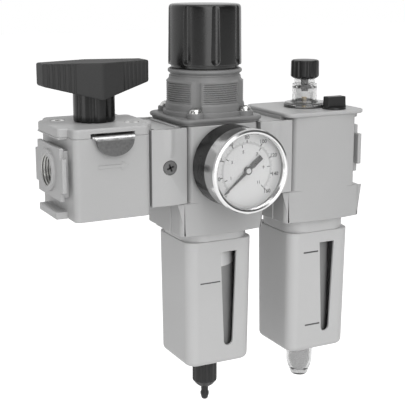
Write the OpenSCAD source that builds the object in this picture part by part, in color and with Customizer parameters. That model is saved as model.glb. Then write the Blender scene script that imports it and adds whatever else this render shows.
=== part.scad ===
// Air preparation unit: lock-out valve, filter/regulator with gauge, and lubricator.
// Origin at the centre of the inlet port's mouth, +X along the air flow, front towards -Y, +Z up.

/* [Layout] */
// Distance between the vertical axes of neighbouring modules
module_pitch = 80.4; // [80:0.2:84]
// Distance from a module's axis to the mouth of its pipe port
port_reach = 34; // [33.5:0.5:36]
// Distance from a module's axis to the face of its end flange
flange_reach = 32; // [31.5:0.1:32.2]

/* [Castings] */
// Half the width of a casting between its end flanges
block_half_w = 25.8; // [25:0.1:26]
// Half the width of the filter and lubricator castings below the couplings
skirt_half_w = 31.5; // [29:0.5:32]
// Half the depth of the valve casting
valve_half_d = 32; // [31.5:0.5:34]
// Half the depth of the filter and lubricator castings, at the crown of their fronts
body_half_d = 30.5; // [30:0.5:32]
// Radius of the bowed fronts of the filter and lubricator castings
front_bow_r = 150; // [120:10:300]
// Radius of a casting's upright corners
corner_r = 4; // [3:0.5:5]
// Top of the filter casting, under the bonnet
body_top = 25.5; // [25.5:0.5:27]
// Bottom of the filter and lubricator castings
body_bottom = -48.4; // [-50:0.1:-47.5]
// Bottom of the valve casting
valve_bottom = -29.3; // [-31:0.1:-28.5]
// Joint between the valve casting and its cover
cover_seam = 23.4; // [23:0.1:24]
// Top of the valve cover
cover_top = 29.5; // [29:0.1:30]
// Top of the lubricator casting
lubricator_top = 29.3; // [29:0.1:30]

/* [Ports] */
// Radius of the pipe thread's core in the inlet and outlet
port_r = 9.3; // [9:0.1:9.6]
// Depth of the pipe thread
port_depth = 16; // [14:0.5:16]
// Radius of the raised ring round a pipe port
port_ring_r = 13.8; // [13:0.1:15]
// Radius of the air passage through the unit
passage_r = 7.5; // [7:0.1:7.5]
// Radius of the exhaust thread's core under the valve
exhaust_r = 5.7; // [5.2:0.1:6]
// Depth of the exhaust thread
exhaust_depth = 10; // [8:0.5:11]

/* [Couplings] */
// Half the width of a coupling plate
plate_half_w = 12.6; // [12.6:0.1:13.3]
// Half the height of a coupling plate
plate_half_h = 25.2; // [24:0.1:25.3]
// Front of a coupling plate at its folded centre line
plate_front = 30.2; // [29.8:0.1:31]

/* [Lock-out valve] */
// Radius of the valve ball
ball_r = 13; // [12.5:0.1:13]
// Radius of the valve spindle
spindle_r = 6; // [5.5:0.1:6.2]
// Length of the handle's bar
handle_length = 72; // [66:1:80]
// Depth of the bar at its centre ridges
handle_depth = 34; // [30:1:38]
// Depth of the bar at its ends
handle_end_depth = 14; // [12:1:18]
// Top of the bar
handle_top = 68.2; // [66:0.2:72]
// Underside of the bar at its ends
handle_end_bottom = 54; // [52:0.5:56]
// Underside of the bar at its centre
handle_mid_bottom = 44; // [42:0.5:46]
// Radius of the handle's hub
hub_r = 13.65; // [13:0.05:14]
// Grip grooves on each half of a side of the bar
grip_grooves = 6; // [0:1:7]
// Half the width of the lock slide
lock_half_w = 14.4; // [13:0.1:14.4]

/* [Regulator] */
// Radius of the bonnet's panel thread
panel_thread_r = 26.25; // [26:0.05:26.5]
// Bottom of the panel thread
panel_thread_z0 = 38.2; // [38:0.1:39]
// Top of the panel thread
panel_thread_z1 = 52.5; // [51:0.1:53]
// Radius of the adjusting knob at its bottom edge
knob_r = 24.9; // [24.5:0.1:25.5]
// Bottom edge of the adjusting knob
knob_z0 = 63.3; // [63:0.1:64]
// Top of the adjusting knob
knob_z1 = 103.5; // [100:0.5:106]
// Finger flutes round the adjusting knob
knob_flutes = 8; // [6:1:10]
// Pitch of the adjusting screw's thread
screw_pitch = 1.5; // [1.25:0.25:2]
// Turns of the adjusting screw from slack spring to full pressure
screw_turns = 4; // [3:1:4]

/* [Gauge] */
// Outside diameter of the bezel
gauge_d = 55; // [52:0.5:58]
// Front of the bezel, measured forward from the module's axis
gauge_front = 66; // [65:0.5:68]
// Back of the gauge's back cover, measured forward from the module's axis
gauge_back = 33; // [32.5:0.5:34]
// Slope of the pointer at zero, below the horizontal on the left
pointer_zero = 40; // [30:1:60]

/* [Bowls] */
// Half the width of a bowl guard at its shoulder
guard_half_w = 25.3; // [25:0.1:26.5]
// Half the width of a bowl guard above its bottom edge
guard_low_half_w = 24.3; // [24:0.1:25]
// Radius of a guard's upright corners
guard_corner_r = 8; // [6:0.5:10]
// Shoulder of the filter's guard, under its neck
guard_top = -54.4; // [-56:0.1:-54]
// Bottom of the filter's guard
guard_bottom = -144; // [-146:0.5:-143]
// How much lower the lubricator's bowl and guard hang
oil_bowl_drop = 3; // [0:0.5:4]
// Sideways place of the sight window from the bowl's axis
window_x = 5.3; // [0:0.1:7]
// Width of the sight window at its top
window_top_w = 10.2; // [8:0.1:12]
// Width of the sight window at its round bottom
window_low_w = 5.4; // [4:0.1:7]
// Radius of the drain's knob
drain_r = 8.85; // [8:0.05:9]
// Radius of the drain's hose barb
barb_r = 3.1; // [2.8:0.1:3.5]

/* [Lubricator] */
// Radius of the sight dome
dome_r = 8.85; // [8.5:0.05:9.2]
// Radius of the sight dome's flange
dome_flange_r = 14.8; // [14:0.1:15]
// Radius of the drip-rate knob
drip_knob_r = 10.2; // [9.5:0.1:11]
// Sideways place of the fill plug from the module's axis
fill_plug_x = 12; // [12:0.5:14]
// Place of the fill plug in front of the module's axis
fill_plug_front = 20.5; // [20.5:0.5:22]

/* [Hidden] */

$fn = 64;
// Facets round a corner inside a hull
hull_fn = 32;
// Overshoot of a cutting shape
cut = 1;
// Gap between pieces that move past each other
gap = 0.3;
// Radial clearance of a running fit
fit = 0.05;

valve_x = port_reach;
regulator_x = valve_x + module_pitch;
lubricator_x = regulator_x + module_pitch;

fill_plug_at = [fill_plug_x, -fill_plug_front];

// End flange: a wide bar and a taller, narrower plate on a neck
flange_t = 3;
flange_bar = [53.6, 22];
flange_plate = [44, 34];
flange_neck = [40, 30];
upper_lip_half_d = 20.5;
upper_lip_reach = 32.2;
lower_lip_half_d = 17;
lower_lip_reach = 33.4;
lower_lip_t = 4.8;
upper_lip_z = 22.2;
// Fall of a coupling plate from its fold to its edges
plate_fall = 1.4;
// Flat pad at each end of a skirt
end_pad_half_d = 11.5;
end_pad_proud = 0.8;

skirt_top = -plate_half_h - 0.6;

// Bowl socket and its collar
socket_r = 23;
socket_top = -26.7;
oil_socket_top = socket_top - oil_bowl_drop;
collar_r = 22.5;
collar_bore_r = 19.9;
bowl_r = 19.5;
bowl_wall = 2.2;
bowl_flange_r = 22.4;
bowl_top = -30;
bowl_flange_t = 3.2;
collar_top = bowl_top - bowl_flange_t;
bowl_seal_r = 20.4;
bowl_seal_wire = 1.4;
bowl_bottom = guard_bottom + 3.3;
bowl_floor = 3;
guard_wall = 2;
guard_floor = 3;
guard_fillet = 4;
neck_half_w = guard_half_w - 0.3;
neck_corner_r = 15.5;
window_z1 = -63;
window_z0 = -131;

// M5 screws: shank, tapped and clearance holes, head, its hexagon and its counterbore
shank_r = 2.4;
tapped_r = 2.5;
clearance_r = 2.8;
screw_head_r = 4.25;
screw_head_h = 3.4;
hex_key_r = 2.2;
counterbore_r = 4.8;
counterbore_depth = 3.6;
// Countersunk screws of the couplings
plate_screw_r = 4.6;
plate_screw_h = 1.2;

// Valve internals
bushing_bottom = 14;
bushing_r = 15.3;
seal_groove_z = bushing_bottom + 4.1;
tongue_t = 4.8;
tongue_l = 10;
chamber_r = 14;
seat_r = 9;
seat_x1 = 15;
cover_screw_at = [20, -14.5];
cover_screw_depth = 14;
cover_edge = 1.6;
spindle_square = 8.4;
grip_spacing = 3.2;
grip_r = 1;
hub_flute_r = 3;
slide_t = 1.4;
slide_channel_top = 25.4;
lock_bend_r = 2.5;
lock_drop = 11.6;
lock_front = 34;
padlock_r = 3.5;

// Regulator internals
bonnet_screw_at = [18.5, 23];
bonnet_step_z = 30;
bonnet_boss_z = 33.3;
spring_bore_r = 20;
bonnet_roof = 56;
bonnet_spigot_r = 20.5;
bonnet_step_r = 28.5;
bonnet_land_r = 26.9;
bonnet_ring_r = 25.2;
bonnet_ring_z = 60.8;
bonnet_top = 66;
bonnet_plan = [62, 60];
bonnet_corner_r = 9;
screw_boss_r = 5.6;
screw_scallop_r = 4.6;
adjust_r = 5;
screw_square = 8;
nut_z0 = 46;
nut_boss = 4;
nut_travel = screw_pitch * screw_turns;
plate_z0 = 25.8;
plate_z1 = 29;
seat_z = -9;
seat_bore_r = 5;
outlet_well_r = 9;
sensing_floor = 17;
sensing_r = 21;
diaphragm_r = 23.8;
diaphragm_seat = 1.5;
bonnet_screw_depth = 5;
guide_bore_r = 8;
guide_flange_z = socket_top - 2.1;
post_r = 4;
drain_hole_r = 5.2;
post_bottom = -110;
element_top = -31;
element_bottom = -104.2;
knob_flute_phase = -10;

gauge_port_r = 6.4;

// Coil springs: wire sections of six sides, eight to a turn
wire_sides = 6;
rings_per_turn = 8;
main_spring_r = 13;
main_wire_r = 1.1;
main_turns = 3;
poppet_spring_r = 4.6;
poppet_wire_r = 0.5;
poppet_turns = 4;

// Lubricator internals
dome_well_z = 10;
dome_well_r = 7;
siphon_r = 2.4;
siphon_foot = -137;
nose_r = 9.8;
plug_r = 5.1;
plug_foot_r = 8.3;
plug_seal_seat_r = 7;
fill_passage_r = 4;
dome_bore_r = 6.6;
needle_r = 2.6;
dome_neck_r = 7.4;
dome_h = 19.9;

casting_grey = "#b4b4b4";
bonnet_grey = "#7f8080";
black_plastic = "#262626";
steel = "#c8c8c8";
brass_colour = "#b89b5a";
rubber_colour = "#303030";

// Shapes used by several pieces

module rounded_rect(w, d, r) {
    square([w - 2 * r, d], center = true);
    square([w, d - 2 * r], center = true);
    for (sx = [-1, 1], sy = [-1, 1])
        translate([sx * (w / 2 - r), sy * (d / 2 - r)]) circle(r);
}

// Outline of a casting whose front and back are slightly bowed
module bowed_rect(w, d, r, bow_r) {
    intersection() {
        rounded_rect(w, d, r);
        translate([0, bow_r - d / 2]) circle(bow_r);
        translate([0, d / 2 - bow_r]) circle(bow_r);
    }
}

module upright(z0, z1) {
    translate([0, 0, z0]) linear_extrude(z1 - z0) children();
}

// Cylinder along X from x0 to x1
module along_x(r, x0, x1) {
    translate([x0, 0, 0]) rotate([0, 90, 0]) cylinder(r = r, h = x1 - x0);
}

// Cylinder pointing forward from the module's axis, h0 to h1 in front of it
module forward(r, h0, h1) {
    rotate([90, 0, 0]) translate([0, 0, h0]) cylinder(r = r, h = h1 - h0);
}

// Rounded plate whose upper edge is eased by the amount edge
module eased_plate(w, d, r, z0, z1, edge) {
    hull() {
        upright(z0, z1 - edge) rounded_rect(w, d, r, $fn = hull_fn);
        upright(z0, z1 - edge * 0.3) rounded_rect(w - edge * 0.6, d - edge * 0.6, r, $fn = hull_fn);
        upright(z0, z1) rounded_rect(w - edge * 2, d - edge * 2, r, $fn = hull_fn);
    }
}

module torus(ring_r, wire_r) {
    rotate_extrude() translate([ring_r, 0]) circle(wire_r);
}

// One end flange with its neck, on the +X side
module end_flange() {
    rotate([90, 0, 90]) {
        upright(block_half_w - cut, flange_reach) square(flange_neck, center = true);
        upright(flange_reach - flange_t, flange_reach) {
            square(flange_bar, center = true);
            square(flange_plate, center = true);
        }
    }
}

module both_ends() {
    children();
    mirror([1, 0, 0]) children();
}

// Shelf at a casting's end, above or below its flange
module end_lip(z0, z1, reach, half_d) {
    upright(z0, z1) translate([0, -half_d]) square([reach, 2 * half_d]);
}

// Outside of a filter or lubricator casting
module bowl_casting(top) {
    upright(body_bottom, top) bowed_rect(2 * block_half_w, 2 * body_half_d, corner_r, front_bow_r);
    upright(body_bottom, skirt_top) bowed_rect(2 * skirt_half_w, 2 * body_half_d, corner_r, front_bow_r);
    both_ends() end_flange();
    both_ends() end_lip(body_bottom, skirt_top, skirt_half_w + end_pad_proud, end_pad_half_d);
    both_ends() end_lip(upper_lip_z, top, upper_lip_reach, upper_lip_half_d);
}

module bowl_socket(drop) {
    upright(body_bottom - cut, socket_top - drop) circle(socket_r);
}

function unit_ring(n) = [for (i = [0:n - 1]) [cos(360 * i / n), sin(360 * i / n)]];

// Helix of round wire, standing between z0 and z1 at its centre line
module coil_spring(spring_r, wire_r, turns, z0, z1) {
    rings = turns * rings_per_turn;
    section = unit_ring(wire_sides);
    points = [for (i = [0:rings])
        let (a = 360 * i / rings_per_turn, z = z0 + (z1 - z0) * i / rings)
        for (s = section)
            [(spring_r + wire_r * s[0]) * cos(a), (spring_r + wire_r * s[0]) * sin(a), z + wire_r * s[1]]];
    sides = [for (i = [0:rings - 1], k = [0:wire_sides - 1])
        let (a = i * wire_sides + k, b = i * wire_sides + (k + 1) % wire_sides)
        for (t = [[a, a + wire_sides, b], [b, a + wire_sides, b + wire_sides]]) t];
    last = rings * wire_sides;
    near_cap = [for (k = [1:wire_sides - 2]) [0, k, k + 1]];
    far_cap = [for (k = [1:wire_sides - 2]) [last, last + k + 1, last + k]];
    echo("spring gap", (z1 - z0) / turns - 2 * wire_r);
    polyhedron(points, concat(sides, near_cap, far_cap));
}

// Lock-out valve

module valve_body() {
    color(casting_grey) translate([valve_x, 0, 0]) difference() {
        union() {
            upright(valve_bottom, cover_seam) rounded_rect(2 * block_half_w, 2 * valve_half_d, corner_r);
            both_ends() end_flange();
            both_ends() end_lip(valve_bottom, valve_bottom + lower_lip_t, lower_lip_reach, lower_lip_half_d);
            both_ends() end_lip(upper_lip_z, cover_seam, upper_lip_reach, upper_lip_half_d);
            along_x(port_ring_r, -port_reach, -flange_reach + 0.5);
        }
        upright(-chamber_r, bushing_bottom + cut) circle(chamber_r);
        upright(bushing_bottom, cover_seam + cut) circle(bushing_r);
        along_x(passage_r, -port_reach - cut, flange_reach + cut);
        along_x(port_r, -port_reach - cut, -port_reach + port_depth);
        along_x(seat_r + fit, -seat_x1, seat_x1);
        upright(valve_bottom - cut, valve_bottom + exhaust_depth) circle(exhaust_r);
        upright(valve_bottom, 0) circle(exhaust_r / 2);
        for (s = [-1, 1])
            upright(cover_seam - cover_screw_depth, cover_seam + cut)
                translate(s * cover_screw_at) circle(tapped_r);
    }
}

module valve_cover() {
    color(casting_grey) translate([valve_x, 0, 0]) difference() {
        union() {
            eased_plate(2 * block_half_w, 2 * valve_half_d, corner_r, cover_seam, cover_top, cover_edge);
            eased_plate(2 * upper_lip_reach, 2 * upper_lip_half_d, 3, cover_seam, cover_top, cover_edge);
        }
        upright(cover_seam - cut, cover_top + cut) circle(spindle_r + fit);
        upright(cover_seam - cut, slide_channel_top)
            translate([-lock_half_w - gap, -valve_half_d - cut])
                square([2 * (lock_half_w + gap), valve_half_d + 10]);
        for (s = [-1, 1]) {
            upright(cover_seam - cut, cover_top + cut) translate(s * cover_screw_at) circle(clearance_r);
            upright(cover_top - counterbore_depth, cover_top + cut)
                translate(s * cover_screw_at) circle(counterbore_r);
        }
    }
}

// Socket-head screws of the cover
module cover_screws() {
    color(steel) translate([valve_x, 0, 0])
        for (s = [-1, 1]) translate(s * cover_screw_at) difference() {
            union() {
                upright(cover_top - counterbore_depth, cover_top - 0.2) circle(screw_head_r);
                upright(cover_seam - cover_screw_depth + 2, cover_top - counterbore_depth + 0.1)
                    circle(shank_r);
            }
            upright(cover_top - 2.2, cover_top) circle(hex_key_r, $fn = 6);
        }
}

module valve_bushing() {
    color(brass_colour) translate([valve_x, 0, 0]) difference() {
        upright(bushing_bottom, cover_seam) circle(bushing_r - 0.1);
        upright(0, cover_top) circle(spindle_r + fit);
        upright(seal_groove_z - 1.1, seal_groove_z + 1.1) circle(spindle_r + 2.1);
    }
}

module spindle_seal() {
    color(rubber_colour) translate([valve_x, 0, seal_groove_z]) torus(spindle_r + 1.1, 0.95);
}

// Distance from the ball's centre at which a seat's face clears the ball
function seat_face_x(r) = sqrt(pow(ball_r + gap, 2) - r * r);

module ball_seats() {
    bore_r = passage_r + 0.1;
    color("#e8e8e0") translate([valve_x, 0, 0]) both_ends() rotate([0, 90, 0]) rotate_extrude()
        polygon([[bore_r, seat_x1], [bore_r, seat_face_x(bore_r)],
            [seat_r, seat_face_x(seat_r)], [seat_r, seat_x1]]);
}

module valve_ball() {
    color(steel) translate([valve_x, 0, 0]) difference() {
        sphere(ball_r);
        along_x(passage_r, -ball_r - cut, ball_r + cut);
        upright(ball_r - 3, ball_r + cut) square([tongue_t + 0.2, 2 * ball_r], center = true);
    }
}

module valve_spindle() {
    color(steel) translate([valve_x, 0, 0]) {
        upright(ball_r - 2.6, ball_r + 1) square([tongue_t, tongue_l], center = true);
        upright(ball_r + 0.4, cover_top + 0.5) circle(spindle_r);
        upright(cover_top, handle_mid_bottom) square(spindle_square, center = true);
    }
}

// Plan of the handle's bar: a long six-sided diamond
module handle_plan() {
    half_l = handle_length / 2;
    half_d = handle_depth / 2;
    half_e = handle_end_depth / 2;
    polygon([[-half_l, -half_e], [0, -half_d], [half_l, -half_e],
        [half_l, half_e], [0, half_d], [-half_l, half_e]]);
}

// Side view of the bar: flat on top, deepest in the middle
module handle_side() {
    half_l = handle_length / 2;
    polygon([[-half_l, handle_end_bottom], [0, handle_mid_bottom], [half_l, handle_end_bottom],
        [half_l, handle_top], [-half_l, handle_top]]);
}

module handle_grip_grooves() {
    half_l = handle_length / 2;
    taper = (handle_depth - handle_end_depth) / 2 / half_l;
    for (sx = [-1, 1], sy = [-1, 1], i = [1:1:grip_grooves]) {
        x = half_l - grip_spacing * i;
        translate([sx * x, sy * (handle_depth / 2 - taper * x + grip_r / 2), 0]) children();
    }
}

module valve_handle() {
    hub_z0 = cover_top + gap;
    hub_z1 = handle_mid_bottom + 4;
    color(black_plastic) translate([valve_x, 0, 0]) difference() {
        union() {
            difference() {
                upright(hub_z0, hub_z1) circle(hub_r);
                for (a = [22.5:45:360])
                    rotate(a) translate([hub_r + 2, 0])
                        upright(hub_z0 - cut, hub_z1 + cut) circle(hub_flute_r);
            }
            intersection() {
                upright(handle_mid_bottom - cut, handle_top) handle_plan();
                rotate([90, 0, 0]) upright(-handle_depth, handle_depth) handle_side();
            }
        }
        handle_grip_grooves() upright(handle_mid_bottom, handle_top + cut) circle(grip_r);
        upright(hub_z0 - cut, handle_mid_bottom) square(spindle_square + 2 * fit, center = true);
        upright(hub_z0 - cut, cover_top + 0.8) circle(spindle_r + 0.2);
    }
}

// Slide under the cover with a half-moon finger pull bent down in front
module lock_slide() {
    slide_z0 = cover_seam + gap;
    slide_z1 = slide_z0 + slide_t;
    bend_z = slide_z1 - lock_bend_r;
    pull_r = (lock_half_w * lock_half_w + lock_drop * lock_drop) / (2 * lock_drop);
    color(steel) translate([valve_x, 0, 0]) {
        upright(slide_z0, slide_z1) difference() {
            translate([-lock_half_w, -lock_front]) square([2 * lock_half_w, lock_front + 4]);
            circle(spindle_r + 0.6);
            translate([-spindle_r - 0.6, 0]) square([2 * spindle_r + 1.2, 10]);
            translate([0, -lock_front + 10]) circle(padlock_r);
        }
        translate([-lock_half_w, -lock_front, bend_z]) rotate([90, 0, 90]) linear_extrude(2 * lock_half_w)
            difference() {
                circle(lock_bend_r);
                circle(lock_bend_r - slide_t);
                translate([0, -10]) square(20);
                translate([-10, -20]) square(20);
            }
        translate([0, -lock_front - lock_bend_r + slide_t, bend_z]) rotate([90, 0, 0]) linear_extrude(slide_t)
            intersection() {
                translate([0, pull_r - lock_drop]) circle(pull_r);
                translate([-lock_half_w, -lock_drop]) square([2 * lock_half_w, lock_drop]);
            }
    }
}

// Couplings between the modules

module coupling_frame(n) {
    translate([valve_x + (n - 0.5) * module_pitch, 0, 0]) children();
}

block_half_t = module_pitch / 2 - flange_reach;
port_seal_depth = 1.4;

module coupling_block(n) {
    color(casting_grey) coupling_frame(n) difference() {
        rotate([90, 0, 90]) upright(-block_half_t, block_half_t) square(flange_plate, center = true);
        along_x(passage_r, -block_half_t - cut, block_half_t + cut);
        for (s = [-1, 1]) {
            translate([s * block_half_t, 0, 0]) along_x(passage_r + 3.2, -port_seal_depth, port_seal_depth);
            rotate(90 - 90 * s) forward(tapped_r, passage_r + 2, flange_plate[0] / 2 + cut);
        }
    }
}

// Folded front plate, hooked behind the flanges at both sides
module plate_section() {
    web_back = flange_bar[0] / 2 + 0.2;
    hook_end = flange_neck[0] / 2 + 1.5;
    hook_t = 1.3;
    plate_edge = plate_front - plate_fall;
    polygon([[-plate_half_w, plate_edge], [0, plate_front], [plate_half_w, plate_edge],
        [plate_half_w, hook_end], [plate_half_w - hook_t, hook_end], [plate_half_w - hook_t, web_back],
        [-plate_half_w + hook_t, web_back], [-plate_half_w + hook_t, hook_end], [-plate_half_w, hook_end]]);
}

module coupling_plate(n, side) {
    color(casting_grey) coupling_frame(n) rotate(90 - 90 * side) difference() {
        upright(-plate_half_h, plate_half_h) mirror([0, 1]) plate_section();
        forward(clearance_r, 10, plate_front + cut);
        forward(plate_screw_r + gap, plate_front - plate_screw_h - 0.1, plate_front + cut);
    }
}

// Cross-recessed screws, one from the front and one from the rear
module coupling_screws(n) {
    color("#5a5a5a") coupling_frame(n) for (s = [-1, 1]) rotate(90 - 90 * s) difference() {
        union() {
            forward(shank_r, passage_r + 4, plate_front - plate_screw_h);
            forward(plate_screw_r, plate_front - plate_screw_h - 0.1, plate_front - 0.1);
        }
        for (a = [0, 90])
            rotate([90, a, 0]) translate([0, 0, plate_front - 1]) upright(0, 2) square([5, 1], center = true);
    }
}

module port_seals(n) {
    color(rubber_colour) coupling_frame(n) for (s = [-1, 1])
        translate([s * (block_half_t - port_seal_depth / 2), 0, 0])
            rotate([0, 90, 0]) torus(passage_r + 2, 0.62);
}

// Filter/regulator

module regulator_body() {
    color(casting_grey) translate([regulator_x, 0, 0]) difference() {
        bowl_casting(body_top);
        bowl_socket(0);
        upright(body_top - diaphragm_seat, body_top + cut) circle(diaphragm_r + 0.2);
        upright(sensing_floor, body_top) circle(sensing_r);
        upright(seat_z + 3, sensing_floor + cut) circle(outlet_well_r);
        upright(seat_z - cut, seat_z + 4) circle(seat_bore_r);
        upright(socket_top - cut, seat_z) circle(guide_bore_r);
        along_x(passage_r, 0, flange_reach + cut);
        along_x(passage_r, -flange_reach - cut, -14);
        upright(socket_top - cut, 0) translate([-16, 0]) circle(4);
        for (s = [-1, 1]) rotate(90 - 90 * s) forward(gauge_port_r, 8, body_half_d + cut);
        for (sx = [-1, 1], sy = [-1, 1])
            upright(body_top - bonnet_screw_depth, body_top + cut)
                translate([sx * bonnet_screw_at[0], sy * bonnet_screw_at[1]]) circle(tapped_r);
    }
}

module at_bonnet_screws() {
    for (sx = [-1, 1], sy = [-1, 1])
        translate([sx * bonnet_screw_at[0], sy * bonnet_screw_at[1], 0]) children();
}

// Turned part of the bonnet: step, panel thread, neck, collar ring and spigot
module bonnet_profile() {
    polygon([[0, bonnet_step_z - 1], [bonnet_step_r, bonnet_step_z - 1], [bonnet_step_r, bonnet_boss_z],
        [bonnet_land_r, bonnet_boss_z + 1], [bonnet_land_r, panel_thread_z0 - 1],
        [panel_thread_r, panel_thread_z0], [panel_thread_r, panel_thread_z1],
        [24.8, panel_thread_z1 + 1.2], [24.3, bonnet_roof], [23.6, bonnet_roof + 0.4],
        [23.6, bonnet_roof + 1.4],
        [bonnet_ring_r, bonnet_ring_z - 2.2], [bonnet_ring_r, bonnet_ring_z - 1], [24, bonnet_ring_z],
        [bonnet_spigot_r, bonnet_ring_z], [bonnet_spigot_r, bonnet_top], [0, bonnet_top]]);
}

module bonnet() {
    color(bonnet_grey) translate([regulator_x, 0, 0]) difference() {
        union() {
            eased_plate(bonnet_plan[0], bonnet_plan[1], bonnet_corner_r, body_top, bonnet_step_z, 1.5);
            rotate_extrude() bonnet_profile();
            at_bonnet_screws() upright(bonnet_step_z - 2, bonnet_boss_z) circle(screw_boss_r);
        }
        at_bonnet_screws() upright(bonnet_boss_z, panel_thread_z1 + 2) circle(screw_scallop_r);
        at_bonnet_screws() upright(body_top - cut, bonnet_boss_z + cut) circle(clearance_r);
        upright(body_top - cut, bonnet_roof) circle(spring_bore_r);
        upright(bonnet_roof - cut, bonnet_top + cut) circle(adjust_r + fit);
        upright(bonnet_top - 4.5, bonnet_top + cut) circle(17);
    }
}

module bonnet_screws() {
    color(steel) translate([regulator_x, 0, 0]) at_bonnet_screws() difference() {
        union() {
            upright(bonnet_boss_z, bonnet_boss_z + screw_head_h) circle(screw_head_r);
            upright(body_top - bonnet_screw_depth + 0.5, bonnet_boss_z + 0.2) circle(shank_r);
        }
        upright(bonnet_boss_z + 1.2, bonnet_boss_z + 4) circle(hex_key_r, $fn = 6);
    }
}

// Push-to-lock knob: a cup with wide finger flutes that stop above its lower edge
module adjusting_knob() {
    flute_end = knob_z0 + 4;
    flute_r = 4.8;
    skirt_r = 23;
    skirt_z = knob_z0 - 1.8;
    bore_r = 21.6;
    core_r = 9.5;
    crown = 2.4;
    color(black_plastic) translate([regulator_x, 0, 0]) difference() {
        rotate_extrude() polygon([[0, knob_z0 + 3], [bore_r, knob_z0 + 3], [bore_r, skirt_z],
            [skirt_r, skirt_z],
            [skirt_r, knob_z0], [knob_r, knob_z0], [knob_r - 0.6, knob_z1 - crown],
            [knob_r - 1.4, knob_z1 - 0.7], [knob_r - 3.4, knob_z1], [0, knob_z1]]);
        rotate_extrude() translate([core_r, knob_z0 - cut]) square([bore_r - 0.1 - core_r, 34]);
        for (i = [0:knob_flutes - 1]) rotate(knob_flute_phase + i * 360 / knob_flutes) {
            translate([knob_r + 3.6, 0, flute_end]) cylinder(r = flute_r, h = knob_z1 - knob_z0);
            translate([knob_r + 3.6, 0, flute_end]) sphere(flute_r);
        }
        upright(knob_z0, knob_z0 + 20) square(screw_square + 0.6, center = true);
    }
}

module adjusting_screw() {
    color(steel) translate([regulator_x, 0, 0]) {
        upright(nut_z0 - nut_boss - nut_travel, bonnet_roof + 6) circle(adjust_r);
        upright(bonnet_roof + 5.8, bonnet_roof + 7.8) circle(8.5);
        upright(bonnet_roof + 7.5, knob_z0 + 14) square(screw_square, center = true);
    }
}

module spring_nut() {
    color(steel) translate([regulator_x, 0, 0]) difference() {
        union() {
            upright(nut_z0, nut_z0 + 4) circle(18.5);
            upright(nut_z0, nut_z0 + 7) circle(9);
            upright(nut_z0 - nut_boss, nut_z0 + 1) circle(10.5);
        }
        upright(nut_z0 - 5, nut_z0 + 8) circle(adjust_r + gap);
    }
}

module main_spring() {
    color(steel) translate([regulator_x, 0, 0])
        coil_spring(main_spring_r, main_wire_r, main_turns,
            plate_z1 + main_wire_r + 0.2, nut_z0 - main_wire_r - 0.2);
}

module diaphragm() {
    color(rubber_colour) translate([regulator_x, 0, 0]) difference() {
        upright(body_top - diaphragm_seat, body_top - 0.1) circle(diaphragm_r);
        upright(body_top - 2, body_top) circle(3);
    }
}

module diaphragm_plate() {
    color(steel) translate([regulator_x, 0, 0]) {
        upright(plate_z0, plate_z1) circle(17);
        upright(plate_z0, plate_z1 + 3) circle(9);
    }
}

// Valve head under the seat, with the stem that reaches up to the diaphragm
module poppet() {
    color(brass_colour) translate([regulator_x, 0, 0]) {
        upright(seat_z - 5, seat_z - gap) circle(6.6);
        upright(seat_z - 1, body_top - 2) circle(2);
    }
}

module poppet_spring() {
    color(steel) translate([regulator_x, 0, 0])
        coil_spring(poppet_spring_r, poppet_wire_r, poppet_turns, socket_top + 4.7, seat_z - 5.7);
}

// Spring seat with the post that carries the filter element
module poppet_guide() {
    color(black_plastic) translate([regulator_x, 0, 0]) difference() {
        union() {
            upright(guide_flange_z, socket_top + 4) circle(guide_bore_r - fit);
            upright(guide_flange_z, socket_top) circle(12);
            upright(post_bottom, guide_flange_z + cut) circle(post_r);
        }
        for (a = [45:90:360])
            upright(guide_flange_z - cut, socket_top + 5) rotate(a) translate([5.9, 0]) circle(1.4);
    }
}

// Swirl ring with slanted louvres
module deflector() {
    color(black_plastic) translate([regulator_x, 0, 0]) difference() {
        union() {
            upright(-42, guide_flange_z) difference() {
                circle(16.4);
                circle(12.6);
            }
            upright(element_top, guide_flange_z) difference() {
                circle(14);
                circle(post_r + fit);
            }
        }
        for (a = [0:30:330])
            rotate(a) translate([15, 0, -37.5]) rotate([30, 0, 0]) cube([8, 2, 10], center = true);
    }
}

module filter_element() {
    color("#e6e2d6") translate([regulator_x, 0, 0]) upright(element_bottom, element_top) difference() {
        circle(12);
        circle(8.5);
    }
}

// Quiet-zone disc that holds the element up
module baffle() {
    color(black_plastic) translate([regulator_x, 0, 0]) rotate_extrude()
        translate([0, element_bottom]) polygon([[post_r + fit, 0], [14, 0], [16, -3.8], [15, -3.8],
            [12.6, -1.8],
            [8, -1.8], [8, -7.8], [post_r + fit, -7.8]]);
}

// Upper part of a bowl's outline, from its inner rim over the flange to the foot of its wall
bowl_rim = [[bowl_r - bowl_wall, bowl_top], [bowl_flange_r, bowl_top],
    [bowl_flange_r, bowl_top - bowl_flange_t], [bowl_r, bowl_top - bowl_flange_t],
    [bowl_r, bowl_bottom + 5], [bowl_r - 5, bowl_bottom]];
// Inside of the floor, back up to the wall
bowl_inside = [[bowl_r - 6, bowl_bottom + bowl_floor], [bowl_r - bowl_wall, bowl_bottom + 7]];

// Clear bowl with a dished floor and a hole for the drain's stem
module filter_bowl() {
    color("#d8dcdc", 0.5) translate([regulator_x, 0, 0]) rotate_extrude()
        polygon(concat(bowl_rim, [[drain_hole_r, bowl_bottom], [drain_hole_r, bowl_bottom + bowl_floor]],
            bowl_inside));
}

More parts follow.
